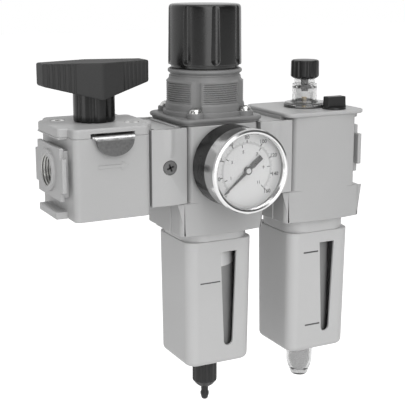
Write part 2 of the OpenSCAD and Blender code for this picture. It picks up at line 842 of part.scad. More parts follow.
// Square with large corners that thins towards the bottom; inset makes the inside
module guard_solid(z_top, z_bottom, inset) {
    function width_at(z) = guard_half_w - inset
        + (guard_low_half_w - guard_half_w) * (guard_top - z) / (guard_top - guard_bottom);
    r = guard_corner_r - inset;
    // Heights of the sections, each with the amount by which it is drawn in
    sections = concat([[z_top, 1.2], [z_top - 1.6, 0]],
        [for (a = [0, 28, 60, 90]) [z_bottom + guard_fillet * (1 - sin(a)), guard_fillet * (1 - cos(a))]]);
    hull() for (s = sections)
        let (w = 2 * (width_at(s[0]) - s[1]))
            upright(s[0] - 0.01, s[0]) rounded_rect(w, w, r, $fn = hull_fn);
}

// Tall sight window, narrower towards its round lower end
module sight_window() {
    low_r = window_low_w / 2;
    rotate([90, 0, 0]) upright(10, guard_half_w + 4) translate([window_x, 0]) {
        polygon([[-window_top_w / 2, window_z1], [window_top_w / 2, window_z1],
            [low_r, window_z0 + low_r], [-low_r, window_z0 + low_r]]);
        translate([0, window_z0 + low_r]) circle(low_r);
    }
}

module bowl_guard(hole_r, drop) {
    difference() {
        union() {
            upright(guard_top - guard_floor, collar_top) circle(collar_r);
            upright(guard_top - guard_floor, body_bottom - gap + drop)
                rounded_rect(2 * neck_half_w, 2 * neck_half_w, neck_corner_r);
            guard_solid(guard_top, guard_bottom, 0);
        }
        upright(guard_top - 4, collar_top + cut) circle(collar_bore_r);
        guard_solid(guard_top - guard_floor, guard_bottom + guard_floor, guard_wall);
        upright(guard_bottom - cut, guard_bottom + 4) circle(hole_r);
        sight_window();
        rotate(180) sight_window();
    }
}

module filter_bowl_guard() {
    color(casting_grey) translate([regulator_x, 0, 0]) bowl_guard(drain_r + 0.5, 0);
}

module filter_bowl_seal() {
    color(rubber_colour)
        translate([regulator_x, 0, bowl_top + bowl_seal_wire]) torus(bowl_seal_r, bowl_seal_wire);
}

// Twist drain with a hose barb
module drain_valve() {
    knob_bottom = guard_bottom - 25;
    color(black_plastic) translate([regulator_x, 0, 0]) difference() {
        union() {
            difference() {
                rotate_extrude() polygon([[0, bowl_bottom - 0.4], [drain_r, bowl_bottom - 0.4],
                    [drain_r, knob_bottom + 5], [drain_r - 2.6, knob_bottom + 1.6],
                    [barb_r + 0.6, knob_bottom],
                    [0, knob_bottom]]);
                for (a = [0:30:330])
                    rotate(a) upright(knob_bottom - cut, guard_bottom - 2)
                        translate([drain_r + 0.6, 0]) circle(1.3);
            }
            upright(bowl_bottom - 1, bowl_bottom + 7) circle(drain_hole_r - gap);
            upright(knob_bottom - 10, knob_bottom + 1) circle(barb_r);
        }
        upright(knob_bottom - 11, bowl_bottom + 8) circle(1.5);
    }
}

// Plug in the gauge port at the rear
module gauge_port_plug() {
    color(steel) translate([regulator_x, 0, 0]) rotate(180) difference() {
        forward(gauge_port_r - fit, 18, body_half_d + 0.4);
        rotate([90, 0, 0]) upright(body_half_d - 4, body_half_d + 2) circle(3, $fn = 6);
    }
}

// Pressure gauge, turned about an axis that points forward

module gauge_frame() {
    translate([regulator_x, 0, 0]) rotate([90, 0, 0]) children();
}

gauge_r = gauge_d / 2;
case_r = gauge_r - 0.7;
case_h0 = gauge_back + 18.5;
bezel_h0 = gauge_front - 6.5;
dial_h = gauge_front - 7.5;
case_wall = 1.2;
gauge_stem_r = 5;
movement_h0 = gauge_back + 7;
pointer_shaft_r = 0.8;

module gauge_stem() {
    color(brass_colour) gauge_frame() difference() {
        union() {
            upright(13, body_half_d + 0.6) circle(gauge_port_r - fit);
            upright(body_half_d + 0.1, gauge_back) circle(8.2, $fn = 6);
            upright(gauge_back - cut, movement_h0) circle(gauge_stem_r);
        }
        upright(12, gauge_back + 4) circle(2);
    }
}

module gauge_back_cover() {
    color(black_plastic) gauge_frame() rotate_extrude()
        polygon([[gauge_stem_r + fit, gauge_back], [case_r - 2.5, gauge_back],
            [case_r - 0.8, gauge_back + 0.8],
            [case_r, gauge_back + 2.5], [case_r, case_h0], [case_r - 1.4, case_h0],
            [case_r - 1.4, gauge_back + 2], [gauge_stem_r + fit, gauge_back + 1.6]]);
}

module gauge_case() {
    color(steel) gauge_frame() rotate_extrude()
        translate([case_r - case_wall, case_h0]) square([case_wall, bezel_h0 - case_h0]);
}

module gauge_bezel() {
    color(steel) gauge_frame() rotate_extrude()
        polygon([[gauge_r - 2, bezel_h0], [gauge_r - 0.4, bezel_h0], [gauge_r, bezel_h0 + 0.6],
            [gauge_r, gauge_front - 1.8], [gauge_r - 0.6, gauge_front - 0.5], [gauge_r - 1.8, gauge_front],
            [gauge_r - 2.8, gauge_front - 0.4], [gauge_r - 3.6, gauge_front - 1.8],
            [gauge_r - 2, gauge_front - 1.8]]);
}

module gauge_lens() {
    color("#f0f4f4", 0.3)
        gauge_frame() upright(gauge_front - 3.2, gauge_front - 1.8) circle(gauge_r - 2 - fit);
}

module gauge_dial() {
    color("#f2f2f0") gauge_frame() difference() {
        upright(dial_h - 0.8, dial_h) circle(case_r - case_wall - fit);
        upright(dial_h - 2, dial_h + 1) circle(1.2);
    }
}

// Pointer with a broad tail, lying at zero
module gauge_pointer() {
    color(black_plastic) gauge_frame() {
        rotate(180 + pointer_zero) upright(dial_h + 1.4, dial_h + 2)
            polygon([[0, -1.1], [22, -0.3], [22, 0.3], [0, 1.1], [-4, 1.3], [-4, 1.7], [-12.7, 1.7],
                [-12.7, -1.7],
                [-4, -1.7], [-4, -1.3]]);
        upright(dial_h + 0.9, dial_h + 2.6) circle(2.6);
        upright(movement_h0 + 2, dial_h + 1) circle(pointer_shaft_r);
    }
}

// Bourdon tube on its block, with the bush of the pointer's shaft
module bourdon_tube() {
    color(brass_colour) gauge_frame() difference() {
        union() {
            upright(movement_h0, movement_h0 + 8) translate([0, -14]) square([9, 8], center = true);
            upright(movement_h0, movement_h0 + 3) translate([-4.5, -14]) square([9, 18]);
            upright(movement_h0, dial_h - 3) circle(2.2);
            translate([0, 0, movement_h0 + 5]) rotate(-75) rotate_extrude(angle = 270)
                translate([16, 0]) square([2.4, 6], center = true);
        }
        upright(movement_h0 - cut, dial_h) circle(pointer_shaft_r + fit);
    }
}

// Lubricator

module lubricator_body() {
    color(casting_grey) translate([lubricator_x, 0, 0]) difference() {
        union() {
            bowl_casting(lubricator_top - 2.5);
            eased_plate(2 * upper_lip_reach, 2 * body_half_d + 1.6, 7,
                lubricator_top - 3, lubricator_top, 1.2);
            along_x(port_ring_r, flange_reach - 0.5, port_reach);
        }
        bowl_socket(oil_bowl_drop);
        along_x(passage_r, -flange_reach - cut, port_reach + cut);
        along_x(port_r, port_reach - port_depth, port_reach + cut);
        upright(dome_well_z, lubricator_top + cut) circle(dome_well_r);
        upright(oil_socket_top - cut, dome_well_z + cut) circle(siphon_r + fit);
        upright(lubricator_top - 12, lubricator_top + cut) translate(fill_plug_at) circle(plug_r + 0.4);
        upright(lubricator_top - 1.2, lubricator_top + cut) translate(fill_plug_at) circle(plug_seal_seat_r);
        upright(oil_socket_top - cut, lubricator_top) translate(fill_plug_at) circle(fill_passage_r);
    }
}

// Clear dome over the drip tube, with a flange and a stepped top
module sight_dome() {
    z0 = lubricator_top;
    color("#e4e8e8", 0.4) translate([lubricator_x, 0, 0]) rotate_extrude()
        polygon([[dome_bore_r, z0], [dome_flange_r, z0], [dome_flange_r, z0 + 2.6],
            [dome_flange_r - 1, z0 + 3.4],
            [dome_r + 1.4, z0 + 3.6], [dome_r, z0 + 5], [dome_r, z0 + 16.4], [dome_neck_r, z0 + 17],
            [dome_neck_r, z0 + dome_h], [needle_r + 0.4, z0 + dome_h], [needle_r + 0.4, z0 + 16.4],
            [dome_bore_r, z0 + 13.4]]);
}

module dome_seal() {
    color(rubber_colour) translate([lubricator_x, 0, lubricator_top - 1]) torus(6.1, 0.8);
}

// Fluted knob with the needle that sets the drip rate
module drip_knob() {
    z0 = lubricator_top + dome_h + 0.4;
    z1 = z0 + 13.2;
    color(black_plastic) translate([lubricator_x, 0, 0]) {
        difference() {
            rotate_extrude() polygon([[0, z0], [drip_knob_r - 2, z0], [drip_knob_r, z0 + 1.4],
                [drip_knob_r - 0.2, z1 - 1], [drip_knob_r - 1.2, z1], [0, z1]]);
            for (a = [0:36:324])
                rotate(a) upright(z0 - cut, z1 + cut) translate([drip_knob_r + 0.9, 0]) circle(1.7);
        }
        upright(z0 - 9, z0 + 1) circle(needle_r);
    }
}

module drip_tube() {
    color(brass_colour) translate([lubricator_x, 0, 0]) difference() {
        union() {
            upright(dome_well_z, lubricator_top + 7) circle(1.9);
            upright(dome_well_z, dome_well_z + 3) circle(dome_well_r - fit);
        }
        upright(dome_well_z - cut, lubricator_top + 8) circle(0.9);
    }
}

// Plug with a finger bar on a round foot
module fill_plug() {
    z0 = lubricator_top + 0.1;
    color(black_plastic) translate([lubricator_x + fill_plug_at[0], fill_plug_at[1], 0]) {
        upright(z0, z0 + 1.4) circle(plug_foot_r);
        rotate([90, 0, 0]) upright(-3.4, 3.4) polygon([[-8, z0 + 1], [8, z0 + 1], [7.5, z0 + 2.4],
            [7.4, z0 + 8.2], [6.8, z0 + 8.8], [-6.8, z0 + 8.8], [-7.4, z0 + 8.2], [-7.5, z0 + 2.4]]);
        upright(z0 - 8, z0 + 1) circle(plug_r);
    }
}

module fill_plug_seal() {
    color(rubber_colour) translate([lubricator_x + fill_plug_at[0], fill_plug_at[1], lubricator_top - 0.6])
        torus(6.2, 0.55);
}

// Siphon tube with a strainer at its foot
module siphon_tube() {
    color("#d0d0c8") translate([lubricator_x, 0, 0]) {
        upright(siphon_foot + 1, dome_well_z) circle(siphon_r);
        upright(siphon_foot, siphon_foot + 8) circle(4.5);
    }
}

// Clear bowl whose tapered nose shows below the guard
module oil_bowl() {
    nose_bottom = guard_bottom - 27.5;
    nose = [[nose_r, bowl_bottom], [nose_r, nose_bottom + 17.5], [6.4, nose_bottom + 1.6], [5, nose_bottom],
        [0, nose_bottom], [0, nose_bottom + 6], [4.2, nose_bottom + 6],
        [nose_r - bowl_wall, nose_bottom + 18.5],
        [nose_r - bowl_wall, bowl_bottom + bowl_floor]];
    color("#d8dcdc", 0.5) translate([lubricator_x, 0, -oil_bowl_drop]) rotate_extrude()
        polygon(concat(bowl_rim, nose, bowl_inside));
}

module oil_bowl_guard() {
    color(casting_grey) translate([lubricator_x, 0, -oil_bowl_drop]) bowl_guard(nose_r + 0.6, oil_bowl_drop);
}

module oil_bowl_seal() {
    color(rubber_colour) translate([lubricator_x, 0, bowl_top + bowl_seal_wire - oil_bowl_drop])
        torus(bowl_seal_r, bowl_seal_wire);
}

valve_body();
valve_cover();
cover_screws();
valve_bushing();
spindle_seal();
ball_seats();
valve_ball();
valve_spindle();
valve_handle();
lock_slide();
coupling_block(1);  // coupling_block_1
coupling_plate(1, 1);  // coupling_front_plate_1
coupling_plate(1, -1);  // coupling_rear_plate_1
coupling_screws(1);  // coupling_screws_1
port_seals(1);  // port_seals_1
coupling_block(2);  // coupling_block_2
coupling_plate(2, 1);  // coupling_front_plate_2
coupling_plate(2, -1);  // coupling_rear_plate_2
coupling_screws(2);  // coupling_screws_2
port_seals(2);  // port_seals_2
regulator_body();
bonnet();
bonnet_screws();
adjusting_knob();
adjusting_screw();
spring_nut();
main_spring();
diaphragm();
diaphragm_plate();
poppet();
poppet_spring();
poppet_guide();
deflector();
filter_element();
baffle();
filter_bowl();
filter_bowl_guard();
filter_bowl_seal();
drain_valve();
gauge_port_plug();
gauge_stem();
gauge_back_cover();
gauge_case();
gauge_bezel();
gauge_lens();
gauge_dial();
gauge_pointer();
bourdon_tube();
lubricator_body();
sight_dome();
dome_seal();
drip_knob();
drip_tube();
fill_plug();
fill_plug_seal();
siphon_tube();
oil_bowl();
oil_bowl_guard();
oil_bowl_seal();
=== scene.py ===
"""Looks of an air preparation unit: lock-out valve, filter/regulator with gauge, and lubricator.

Lengths are in millimetres until a mesh is made. The frame and Blender are in metres.
"""

import math

import bmesh
import bpy
from mathutils import Matrix, Vector


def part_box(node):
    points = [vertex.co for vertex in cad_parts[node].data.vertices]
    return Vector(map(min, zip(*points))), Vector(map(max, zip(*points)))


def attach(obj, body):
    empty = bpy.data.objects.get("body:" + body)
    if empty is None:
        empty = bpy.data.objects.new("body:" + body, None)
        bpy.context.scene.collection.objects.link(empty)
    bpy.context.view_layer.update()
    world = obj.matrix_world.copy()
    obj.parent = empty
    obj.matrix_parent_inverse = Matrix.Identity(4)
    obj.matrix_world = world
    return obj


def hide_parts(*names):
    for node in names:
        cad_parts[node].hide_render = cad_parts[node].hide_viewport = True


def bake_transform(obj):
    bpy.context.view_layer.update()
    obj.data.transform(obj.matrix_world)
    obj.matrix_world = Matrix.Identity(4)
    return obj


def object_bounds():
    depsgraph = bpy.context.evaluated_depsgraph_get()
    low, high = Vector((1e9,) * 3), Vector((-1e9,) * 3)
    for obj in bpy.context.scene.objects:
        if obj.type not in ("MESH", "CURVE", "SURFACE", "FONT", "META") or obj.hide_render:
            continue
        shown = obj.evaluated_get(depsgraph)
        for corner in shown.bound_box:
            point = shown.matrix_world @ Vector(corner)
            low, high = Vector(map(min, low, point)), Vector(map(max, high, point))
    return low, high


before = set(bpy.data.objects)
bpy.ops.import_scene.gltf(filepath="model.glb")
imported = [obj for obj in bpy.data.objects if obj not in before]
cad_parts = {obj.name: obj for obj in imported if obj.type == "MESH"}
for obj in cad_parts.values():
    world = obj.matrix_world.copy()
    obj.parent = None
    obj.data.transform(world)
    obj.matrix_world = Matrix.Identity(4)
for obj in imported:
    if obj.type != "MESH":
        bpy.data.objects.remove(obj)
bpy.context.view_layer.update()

MM = 0.001


# Places and sizes read from the frame


def lowest(node):
    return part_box(node)[0] / MM


def highest(node):
    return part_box(node)[1] / MM


def centre(node):
    return (lowest(node) + highest(node)) / 2


VALVE_X = centre("valve_spindle").x
FILTER_X = centre("bonnet").x
OIL_X = centre("sight_dome").x
VALVE_AT = (VALVE_X, 0, 0)
FILTER_AT = (FILTER_X, 0, 0)
OIL_AT = (OIL_X, 0, 0)

VALVE_BOTTOM = lowest("valve_body").z
COVER_SEAM = lowest("valve_cover").z
COVER_TOP = highest("valve_cover").z
VALVE_HALF_D = highest("valve_body").y
BODY_TOP = highest("regulator_body").z
BODY_BOTTOM = lowest("regulator_body").z
BODY_HALF_D = highest("regulator_body").y
LUBRICATOR_TOP = highest("lubricator_body").z
INLET_X = lowest("valve_body").x
OUTLET_X = highest("lubricator_body").x

# Castings
BLOCK_HALF_W = 25.8
SKIRT_HALF_W = 31.5
END_PAD_REACH = 32.3
END_PAD_HALF_D = 11.5
SKIRT_TOP = -25.8
FRONT_BOW_R = 150
FRONT_BOW_HALF_W = 18
CORNER_R = 4
FLANGE_REACH = 32
FLANGE_T = 3
FLANGE_BAR = (26.8, 11)
FLANGE_PLATE = (22, 17)
FLANGE_NECK = (20, 15)
UPPER_LIP_Z = 22.2
UPPER_LIP_REACH = 32.2
UPPER_LIP_HALF_D = 20.5
LOWER_LIP_REACH = 33.4
LOWER_LIP_HALF_D = 17
LOWER_LIP_T = 4.8
SOCKET_R = 23
SOCKET_TOP = -26.7
CASTING_EDGE = 0.7

# Ports
PORT_R = 9.3
PORT_CREST_R = 10.2
PORT_DEPTH = 16
PORT_PITCH = 1.8
PORT_HOLE_R = PORT_CREST_R + 0.2
PORT_RING_R = 13.8
PORT_RING_T = 4
EXHAUST_R = 5.7
EXHAUST_CREST_R = EXHAUST_R + 0.5
EXHAUST_HOLE_R = EXHAUST_CREST_R + 0.2
EXHAUST_PITCH = 1.3
EXHAUST_DEPTH = 10


# Outlines, as lists of points


def spread(start, end, count):
    """Evenly spaced values from start to end, both included."""
    return [start + (end - start) * i / (count - 1) for i in range(count)]


def arc(middle_u, middle_v, radius, start, end, count):
    """Points of an arc, with its angles in degrees."""
    angles = [math.radians(a) for a in spread(start, end, count)]
    return [(middle_u + radius * math.cos(a), middle_v + radius * math.sin(a)) for a in angles]


def four_fold(front, quarter):
    """Closes an outline from its front edge and its right front corner by mirroring both."""
    right_back = [(u, -v) for u, v in reversed(quarter)]
    back = [(u, -v) for u, v in reversed(front)]
    left_back = [(-u, -v) for u, v in quarter]
    left_front = [(-u, v) for u, v in reversed(quarter)]
    return front + quarter + right_back + back + left_back + left_front


def mirrored(right):
    """Closes an outline from its right half."""
    return right + [(-u, v) for u, v in reversed(right)]


def rounded(half_w, half_d, corner, steps=7):
    return four_fold([], arc(half_w - corner, corner - half_d, corner, -90, 0, steps))


def bowed(half_w, half_d, corner):
    """Outline of a casting whose front and back are slightly bowed."""
    bow_v = FRONT_BOW_R - half_d
    corner_u = half_w - corner
    corner_v = bow_v - math.sqrt((FRONT_BOW_R - corner) ** 2 - corner_u**2)
    turn = math.degrees(math.atan2(corner_v - bow_v, corner_u))
    across = spread(-FRONT_BOW_HALF_W, FRONT_BOW_HALF_W, 13)
    front = [(u, bow_v - math.sqrt(FRONT_BOW_R**2 - u * u)) for u in across]
    return four_fold(front, arc(corner_u, corner_v, corner, turn, 0, 7))


def crossed(half_w, half_d, corner, lip_half_w, lip_half_d, lip_corner):
    """Rounded plate with a lip at each side."""
    plate = arc(half_w - corner, corner - half_d, corner, -90, 0, 6)
    lip = arc(lip_half_w - lip_corner, lip_corner - lip_half_d, lip_corner, -90, 0, 5)
    return four_fold([], plate + [(half_w, -lip_half_d)] + lip)


def circle(radius, steps=96):
    return arc(0, 0, radius, 0, 360 * (steps - 1) / steps, steps)


def box_outline(half_u, half_v, middle_u=0, middle_v=0):
    corners = ((-1, -1), (1, -1), (1, 1), (-1, 1))
    return [(middle_u + a * half_u, middle_v + b * half_v) for a, b in corners]


def rolled(radius, count):
    """Drops and insets of a quarter-round edge, from its side to its top."""
    turn = spread(0, math.pi / 2, count)
    return [(radius * (1 - math.sin(a)), radius * (1 - math.cos(a))) for a in turn]


def notched_radius(radius, angle, count, phase, reach, cutter):
    """Radius of a round outline with round flutes cut into it, at an angle in radians."""
    step = 2 * math.pi / count
    off = (angle - phase + step / 2) % step - step / 2
    across = reach * math.sin(off)
    if abs(across) >= cutter:
        return radius
    return min(radius, reach * math.cos(off) - math.sqrt(cutter**2 - across**2))


# Ways to stand an outline up: its two directions, and the direction it is drawn out in


def upright(u, v, w):
    return Vector((u, v, w))


def endwise(u, v, w):
    return Vector((w, u, v))


def forward(u, v, w):
    return Vector((u, -w, v))


# Mesh tools


def put_in_scene(name, data):
    thing = bpy.data.objects.new(name, data)
    bpy.context.scene.collection.objects.link(thing)
    return thing


WELD = 0.002
EDGE_WELD = 0.02
FLAT = math.radians(0.3)


def mesh_piece(points, faces, name="shape"):
    mesh = bpy.data.meshes.new(name)
    mesh.from_pydata([Vector(p) * MM for p in points], [], faces)
    shape = bmesh.new()
    shape.from_mesh(mesh)
    bmesh.ops.remove_doubles(shape, verts=shape.verts, dist=WELD * MM)
    bmesh.ops.recalc_face_normals(shape, faces=shape.faces)
    shape.to_mesh(mesh)
    shape.free()
    return put_in_scene(name, mesh)


def loft(rows, loop=False):
    """Skin over rows of points, capped at both ends, or closed from the last row to the first."""
    count = len(rows[0])
    last = len(rows) - 1
    points = [p for row in rows for p in row]
    faces = []
    for i in range(len(rows) if loop else last):
        a = i * count
        b = ((i + 1) % len(rows)) * count
        for k in range(count):
            n = (k + 1) % count
            faces.append((a + k, a + n, b + n, b + k))
    if not loop:
        faces.append(range(count))
        faces.append(range(last * count, (last + 1) * count))
    return mesh_piece(points, [tuple(f) for f in faces])


def standing(outline, height, at=(0, 0, 0), way=upright):
    """One row of points: an outline at a height along its way."""
    return [way(u, v, height) + Vector(at) for u, v in outline]


def prism(outline, low, high, at=(0, 0, 0), way=upright):
    return loft([standing(outline, low, at, way), standing(outline, high, at, way)])


def rod(radius, low, high, at=(0, 0, 0), way=upright, steps=96):
    return prism(circle(radius, steps), low, high, at, way)


def turned(profile, at=(0, 0, 0), way=upright, steps=96, loop=False):
    """Turned shape from points of radius and height."""
    return loft([standing(circle(r, steps), h, at, way) for r, h in profile], loop)


def fluted(profile, x, steps, radius_at, loop=False):
    """Upright turned shape whose radius also depends on the angle."""
    angles = [2 * math.pi * k / steps for k in range(steps)]
    rows = []
    for profile_r, z in profile:
        radii = [radius_at(profile_r, z, a) for a in angles]
        rows.append([Vector((x + r * math.cos(a), r * math.sin(a), z)) for r, a in zip(radii, angles)])
    return loft(rows, loop)


def lifted(base, profile):
    """Profile whose heights are counted from a base."""
    return [(r, base + h) for r, h in profile]


def settle(piece):
    """Applies a piece's modifiers."""
    bpy.context.view_layer.update()
    graph = bpy.context.evaluated_depsgraph_get()
    made = bpy.data.meshes.new_from_object(piece.evaluated_get(graph))
    piece.modifiers.clear()
    piece.data = made
    return piece


def discard(shapes):
    for shape in shapes:
        bpy.data.objects.remove(shape)


def joined(shapes):
    """One object with the meshes of several."""
    whole = bmesh.new()
    for shape in shapes:
        whole.from_mesh(shape.data)
    first = shapes[0]
    whole.to_mesh(first.data)
    whole.free()
    discard(shapes[1:])
    return first


def carve(base, add=(), cut=()):
    """Adds and cuts solid shapes, which are used up."""
    for shapes, operation in ((add, "UNION"), (cut, "DIFFERENCE")):
        for shape in shapes:
            step = base.modifiers.new(operation, "BOOLEAN")
            step.operation = operation
            step.solver = "EXACT"
            step.object = shape
    settle(base)
    discard([*add, *cut])
    return base


def soften(piece, width, segments=3, angle=32):
    """Rounds a piece's outer edges and shades it smoothly."""
    shape = bmesh.new()
    shape.from_mesh(piece.data)
    bmesh.ops.remove_doubles(shape, verts=shape.verts, dist=EDGE_WELD * MM)
    bmesh.ops.dissolve_limit(shape, angle_limit=FLAT, verts=shape.verts, edges=shape.edges)
    weight = shape.edges.layers.float.new("bevel_weight_edge")
    for edge in shape.edges:
        outer = len(edge.link_faces) == 2 and edge.is_convex
        edge[weight] = 1.0 if outer and edge.calc_face_angle() > math.radians(angle) else 0.0
    shape.to_mesh(piece.data)
    shape.free()
    bevel = piece.modifiers.new("edges", "BEVEL")
    bevel.width = width * MM
    bevel.segments = segments
    bevel.limit_method = "WEIGHT"
    bevel.use_clamp_overlap = False
    bevel.miter_outer = "MITER_ARC"
    settle(piece)
    return smooth(piece)


def smooth(piece, angle=40):
    """Smooth shading that keeps edges sharper than the angle, weighted towards large faces."""
    piece.data.polygons.foreach_set("use_smooth", [True] * len(piece.data.polygons))
    piece.data.set_sharp_from_angle(angle=math.radians(angle))
    normals = piece.modifiers.new("normals", "WEIGHTED_NORMAL")
    normals.keep_sharp = True
    normals.weight = 80
    return settle(piece)


def coat(piece, name, material):
    """Names a piece and gives it its finish."""
    piece.name = name
    piece.data.name = name
    piece.data.materials.clear()
    piece.data.materials.append(material)


def dress(piece, name, body, slot, material, *nodes):
    """Finishes a piece, lets it move with a body, and hides the nodes it stands for."""
    coat(piece, name, material)
    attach(piece, body)
    if nodes:
        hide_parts(*nodes)


# Surface effects, shared by the finishes

COLOUR = "NodeSocketColor"
NUMBER = "NodeSocketFloat"


def new_group(name, inputs):
    """Effect with named inputs that puts out a colour, a roughness and a height."""
    group = bpy.data.node_groups.new(name, "ShaderNodeTree")
    for socket, kind, value in inputs:
        group.interface.new_socket(socket, in_out="INPUT", socket_type=kind).default_value = value
    for socket, kind in (("Colour", COLOUR), ("Roughness", NUMBER), ("Height", NUMBER)):
        group.interface.new_socket(socket, in_out="OUTPUT", socket_type=kind)
    return group, group.nodes.new("NodeGroupInput").outputs


def add_node(tree, kind, **settings):
    node = tree.nodes.new(kind)
    for name, value in settings.items():
        setattr(node, name, value)
    return node


def feed(node, values):
    """Sets inputs of a node, by name or number, to a value or to another node's output."""
    for key, value in values.items():
        if isinstance(value, bpy.types.NodeSocket):
            node.id_data.links.new(value, node.inputs[key])
        else:
            node.inputs[key].default_value = value
    return node.outputs


def noise(tree, vector, scale, detail):
    """Noise over a surface."""
    node = add_node(tree, "ShaderNodeTexNoise")
    return feed(node, {"Vector": vector, "Scale": scale, "Detail": detail})["Fac"]


def math_node(tree, operation, *values):
    node = add_node(tree, "ShaderNodeMath", operation=operation)
    return feed(node, dict(enumerate(values)))[0]


def swing(tree, field, amount, about):
    """about plus or minus amount, following a noise field."""
    return math_node(tree, "MULTIPLY_ADD", math_node(tree, "SUBTRACT", field, 0.5), amount, about)


def rise_along(tree, kind, axis, low, high, start, end):
    """Smooth rise from start to end while one coordinate goes from low to high."""
    place = add_node(tree, "ShaderNodeTexCoord").outputs[kind]
    along = feed(add_node(tree, "ShaderNodeSeparateXYZ"), {0: place})[axis]
    rise = add_node(tree, "ShaderNodeMapRange", interpolation_type="SMOOTHSTEP")
    ends = {"From Min": low, "From Max": high, "To Min": start, "To Max": end}
    return feed(rise, {"Value": along, **ends})["Result"]


def scaled_colour(tree, colour, factor):
    node = add_node(tree, "ShaderNodeVectorMath", operation="SCALE")
    return feed(node, {0: colour, "Scale": factor})[0]


def put_out(group, given, shade, field, height):
    """Ends an effect: the colour times a shade, the roughness spread by a field, and the height."""
    colour = scaled_colour(group, given["Colour"], shade)
    rough = swing(group, field, given["Roughness Spread"], given["Roughness"])
    feed(add_node(group, "NodeGroupOutput"), {"Colour": colour, "Roughness": rough, "Height": height})
    return group


CLOUD_SCALE = 40.0
STREAK_SCALE = 90.0


def make_grain():
    """Fine grain of paint and mouldings, with a faint cloudiness."""
    group, given = new_group(
        "grain",
        [
            ("Colour", COLOUR, (0.5, 0.5, 0.5, 1)),
            ("Cloud", NUMBER, 0.06),
            ("Grain Size", NUMBER, 1500.0),
            ("Roughness", NUMBER, 0.4),
            ("Roughness Spread", NUMBER, 0.15),
        ],
    )
    place = add_node(group, "ShaderNodeTexCoord").outputs["Object"]
    cloud = noise(group, place, CLOUD_SCALE, detail=3)
    grain = noise(group, place, given["Grain Size"], detail=2)
    shade = swing(group, cloud, given["Cloud"], 1.0)
    speck = swing(group, grain, given["Cloud"], shade)
    return put_out(group, given, speck, cloud, grain)


def make_brushing():
    """Fine scratches along one direction, set by a stretch of the coordinates."""
    group, given = new_group(
        "brushing",
        [
            ("Colour", COLOUR, (0.6, 0.6, 0.6, 1)),
            ("Streak", NUMBER, 0.2),
            ("Stretch", "NodeSocketVector", (1.0, 30.0, 30.0)),
            ("Roughness", NUMBER, 0.25),
            ("Roughness Spread", NUMBER, 0.2),
        ],
    )
    place = add_node(group, "ShaderNodeTexCoord").outputs["Object"]
    stretch = add_node(group, "ShaderNodeVectorMath", operation="MULTIPLY")
    stretched = feed(stretch, {0: place, 1: given["Stretch"]})[0]
    streak = noise(group, stretched, STREAK_SCALE, detail=4)
    shade = swing(group, streak, given["Streak"], 1.0)
    return put_out(group, given, shade, streak, streak)


GRAIN = make_grain()
BRUSHING = make_brushing()


# Finishes

RELIEF_DEPTH = 0.05
CLEAR_BUMP = 0.02


def finish_with(name, group, values, bump, shader_values):
    """Material whose colour, roughness and bump come from a shared effect."""
    material = bpy.data.materials.new(name)
    material.use_nodes = True
    tree = material.node_tree
    made = feed(add_node(tree, "ShaderNodeGroup", node_tree=group), values)
    relief = {"Strength": bump, "Distance": RELIEF_DEPTH * MM, "Height": made["Height"]}
    normal = feed(add_node(tree, "ShaderNodeBump"), relief)["Normal"]
    looks = {"Base Color": made["Colour"], "Roughness": made["Roughness"], "Normal": normal}
    feed(tree.nodes["Principled BSDF"], {**looks, **shader_values})
    return material


def grey(level):
    return (level, level, level, 1)


def moulded(name, level, roughness, size, bump, cloud=0.12, shine=0.45):
    """Moulded plastic, rubber or lacquer in one grey."""
    values = {"Colour": grey(level), "Cloud": cloud, "Grain Size": size, "Roughness": roughness}
    return finish_with(name, GRAIN, values, bump, {"Specular IOR Level": shine})


def painted(name, level, roughness, size=1800.0, bump=0.25):
    return moulded(name, level, roughness, size, bump, cloud=0.05, shine=0.4)


def metal(name, colour, roughness, stretch, streak=0.2, spread_by=0.15, bump=0.15):
    values = {
        "Colour": (*colour, 1),
        "Streak": streak,
        "Stretch": stretch,
        "Roughness": roughness,
        "Roughness Spread": spread_by,
    }
    return finish_with(name, BRUSHING, values, bump, {"Metallic": 1.0})


def paint_highlight_above(material, low, high, dark, bright):
    """Paints a highlight into a metal's colour: it rises from dark to bright between two heights."""
    tree = material.node_tree
    rise = rise_along(tree, "Object", "Z", low * MM, high * MM, dark, bright)
    effect = next(node for node in tree.nodes if node.type == "GROUP")
    feed(effect, {"Colour": rise})


def clear(name, tint, roughness, clearness=1.0, cloud=0.03):
    """Clear or milky plastic, or glass."""
    values = {"Colour": grey(tint), "Cloud": cloud, "Grain Size": 300.0, "Roughness": roughness}
    values["Roughness Spread"] = roughness
    return finish_with(name, GRAIN, values, CLEAR_BUMP, {"Transmission Weight": clearness, "IOR": 1.5})


CASTING_PAINT = painted("casting_paint", 0.43, 0.42)
GUARD_PAINT = painted("guard_paint", 0.52, 0.42)
PLATE_ENAMEL = painted("plate_enamel", 0.45, 0.2)
BONNET_GREY = moulded("bonnet_moulding", 0.19, 0.46, 1400.0, 0.35, 0.08)
KNOB_BLACK = moulded("knob_gloss_black", 0.008, 0.26, 900.0, 0.05, shine=0.5)
HUB_BLACK = moulded("hub_gloss_black", 0.006, 0.18, 900.0, 0.05, shine=0.3)
CAP_BLACK = moulded("cap_black", 0.014, 0.36, 900.0, 0.15, shine=0.35)
HANDLE_BLACK = moulded("handle_matte_black", 0.034, 0.62, 1300.0, 0.8, 0.25, 0.3)
DRAIN_BLACK = moulded("drain_black", 0.018, 0.4, 1300.0, 0.4, shine=0.3)
GAUGE_BLACK = moulded("gauge_black_lacquer", 0.012, 0.26, 900.0, 0.08, shine=0.3)
# On the lock slide this colour is replaced by a dark-to-bright rise, a painted highlight along the bend
SLIDE_STEEL_AND_PAINTED_HIGHLIGHT = metal("blasted_steel_and_painted_highlight", (0.15, 0.15, 0.15), 0.34, (7.0, 7.0, 7.0), 0.9, 0.3, 0.9)
STEEL = metal("plated_steel", (0.6, 0.6, 0.59), 0.28, (2.0, 20.0, 20.0))
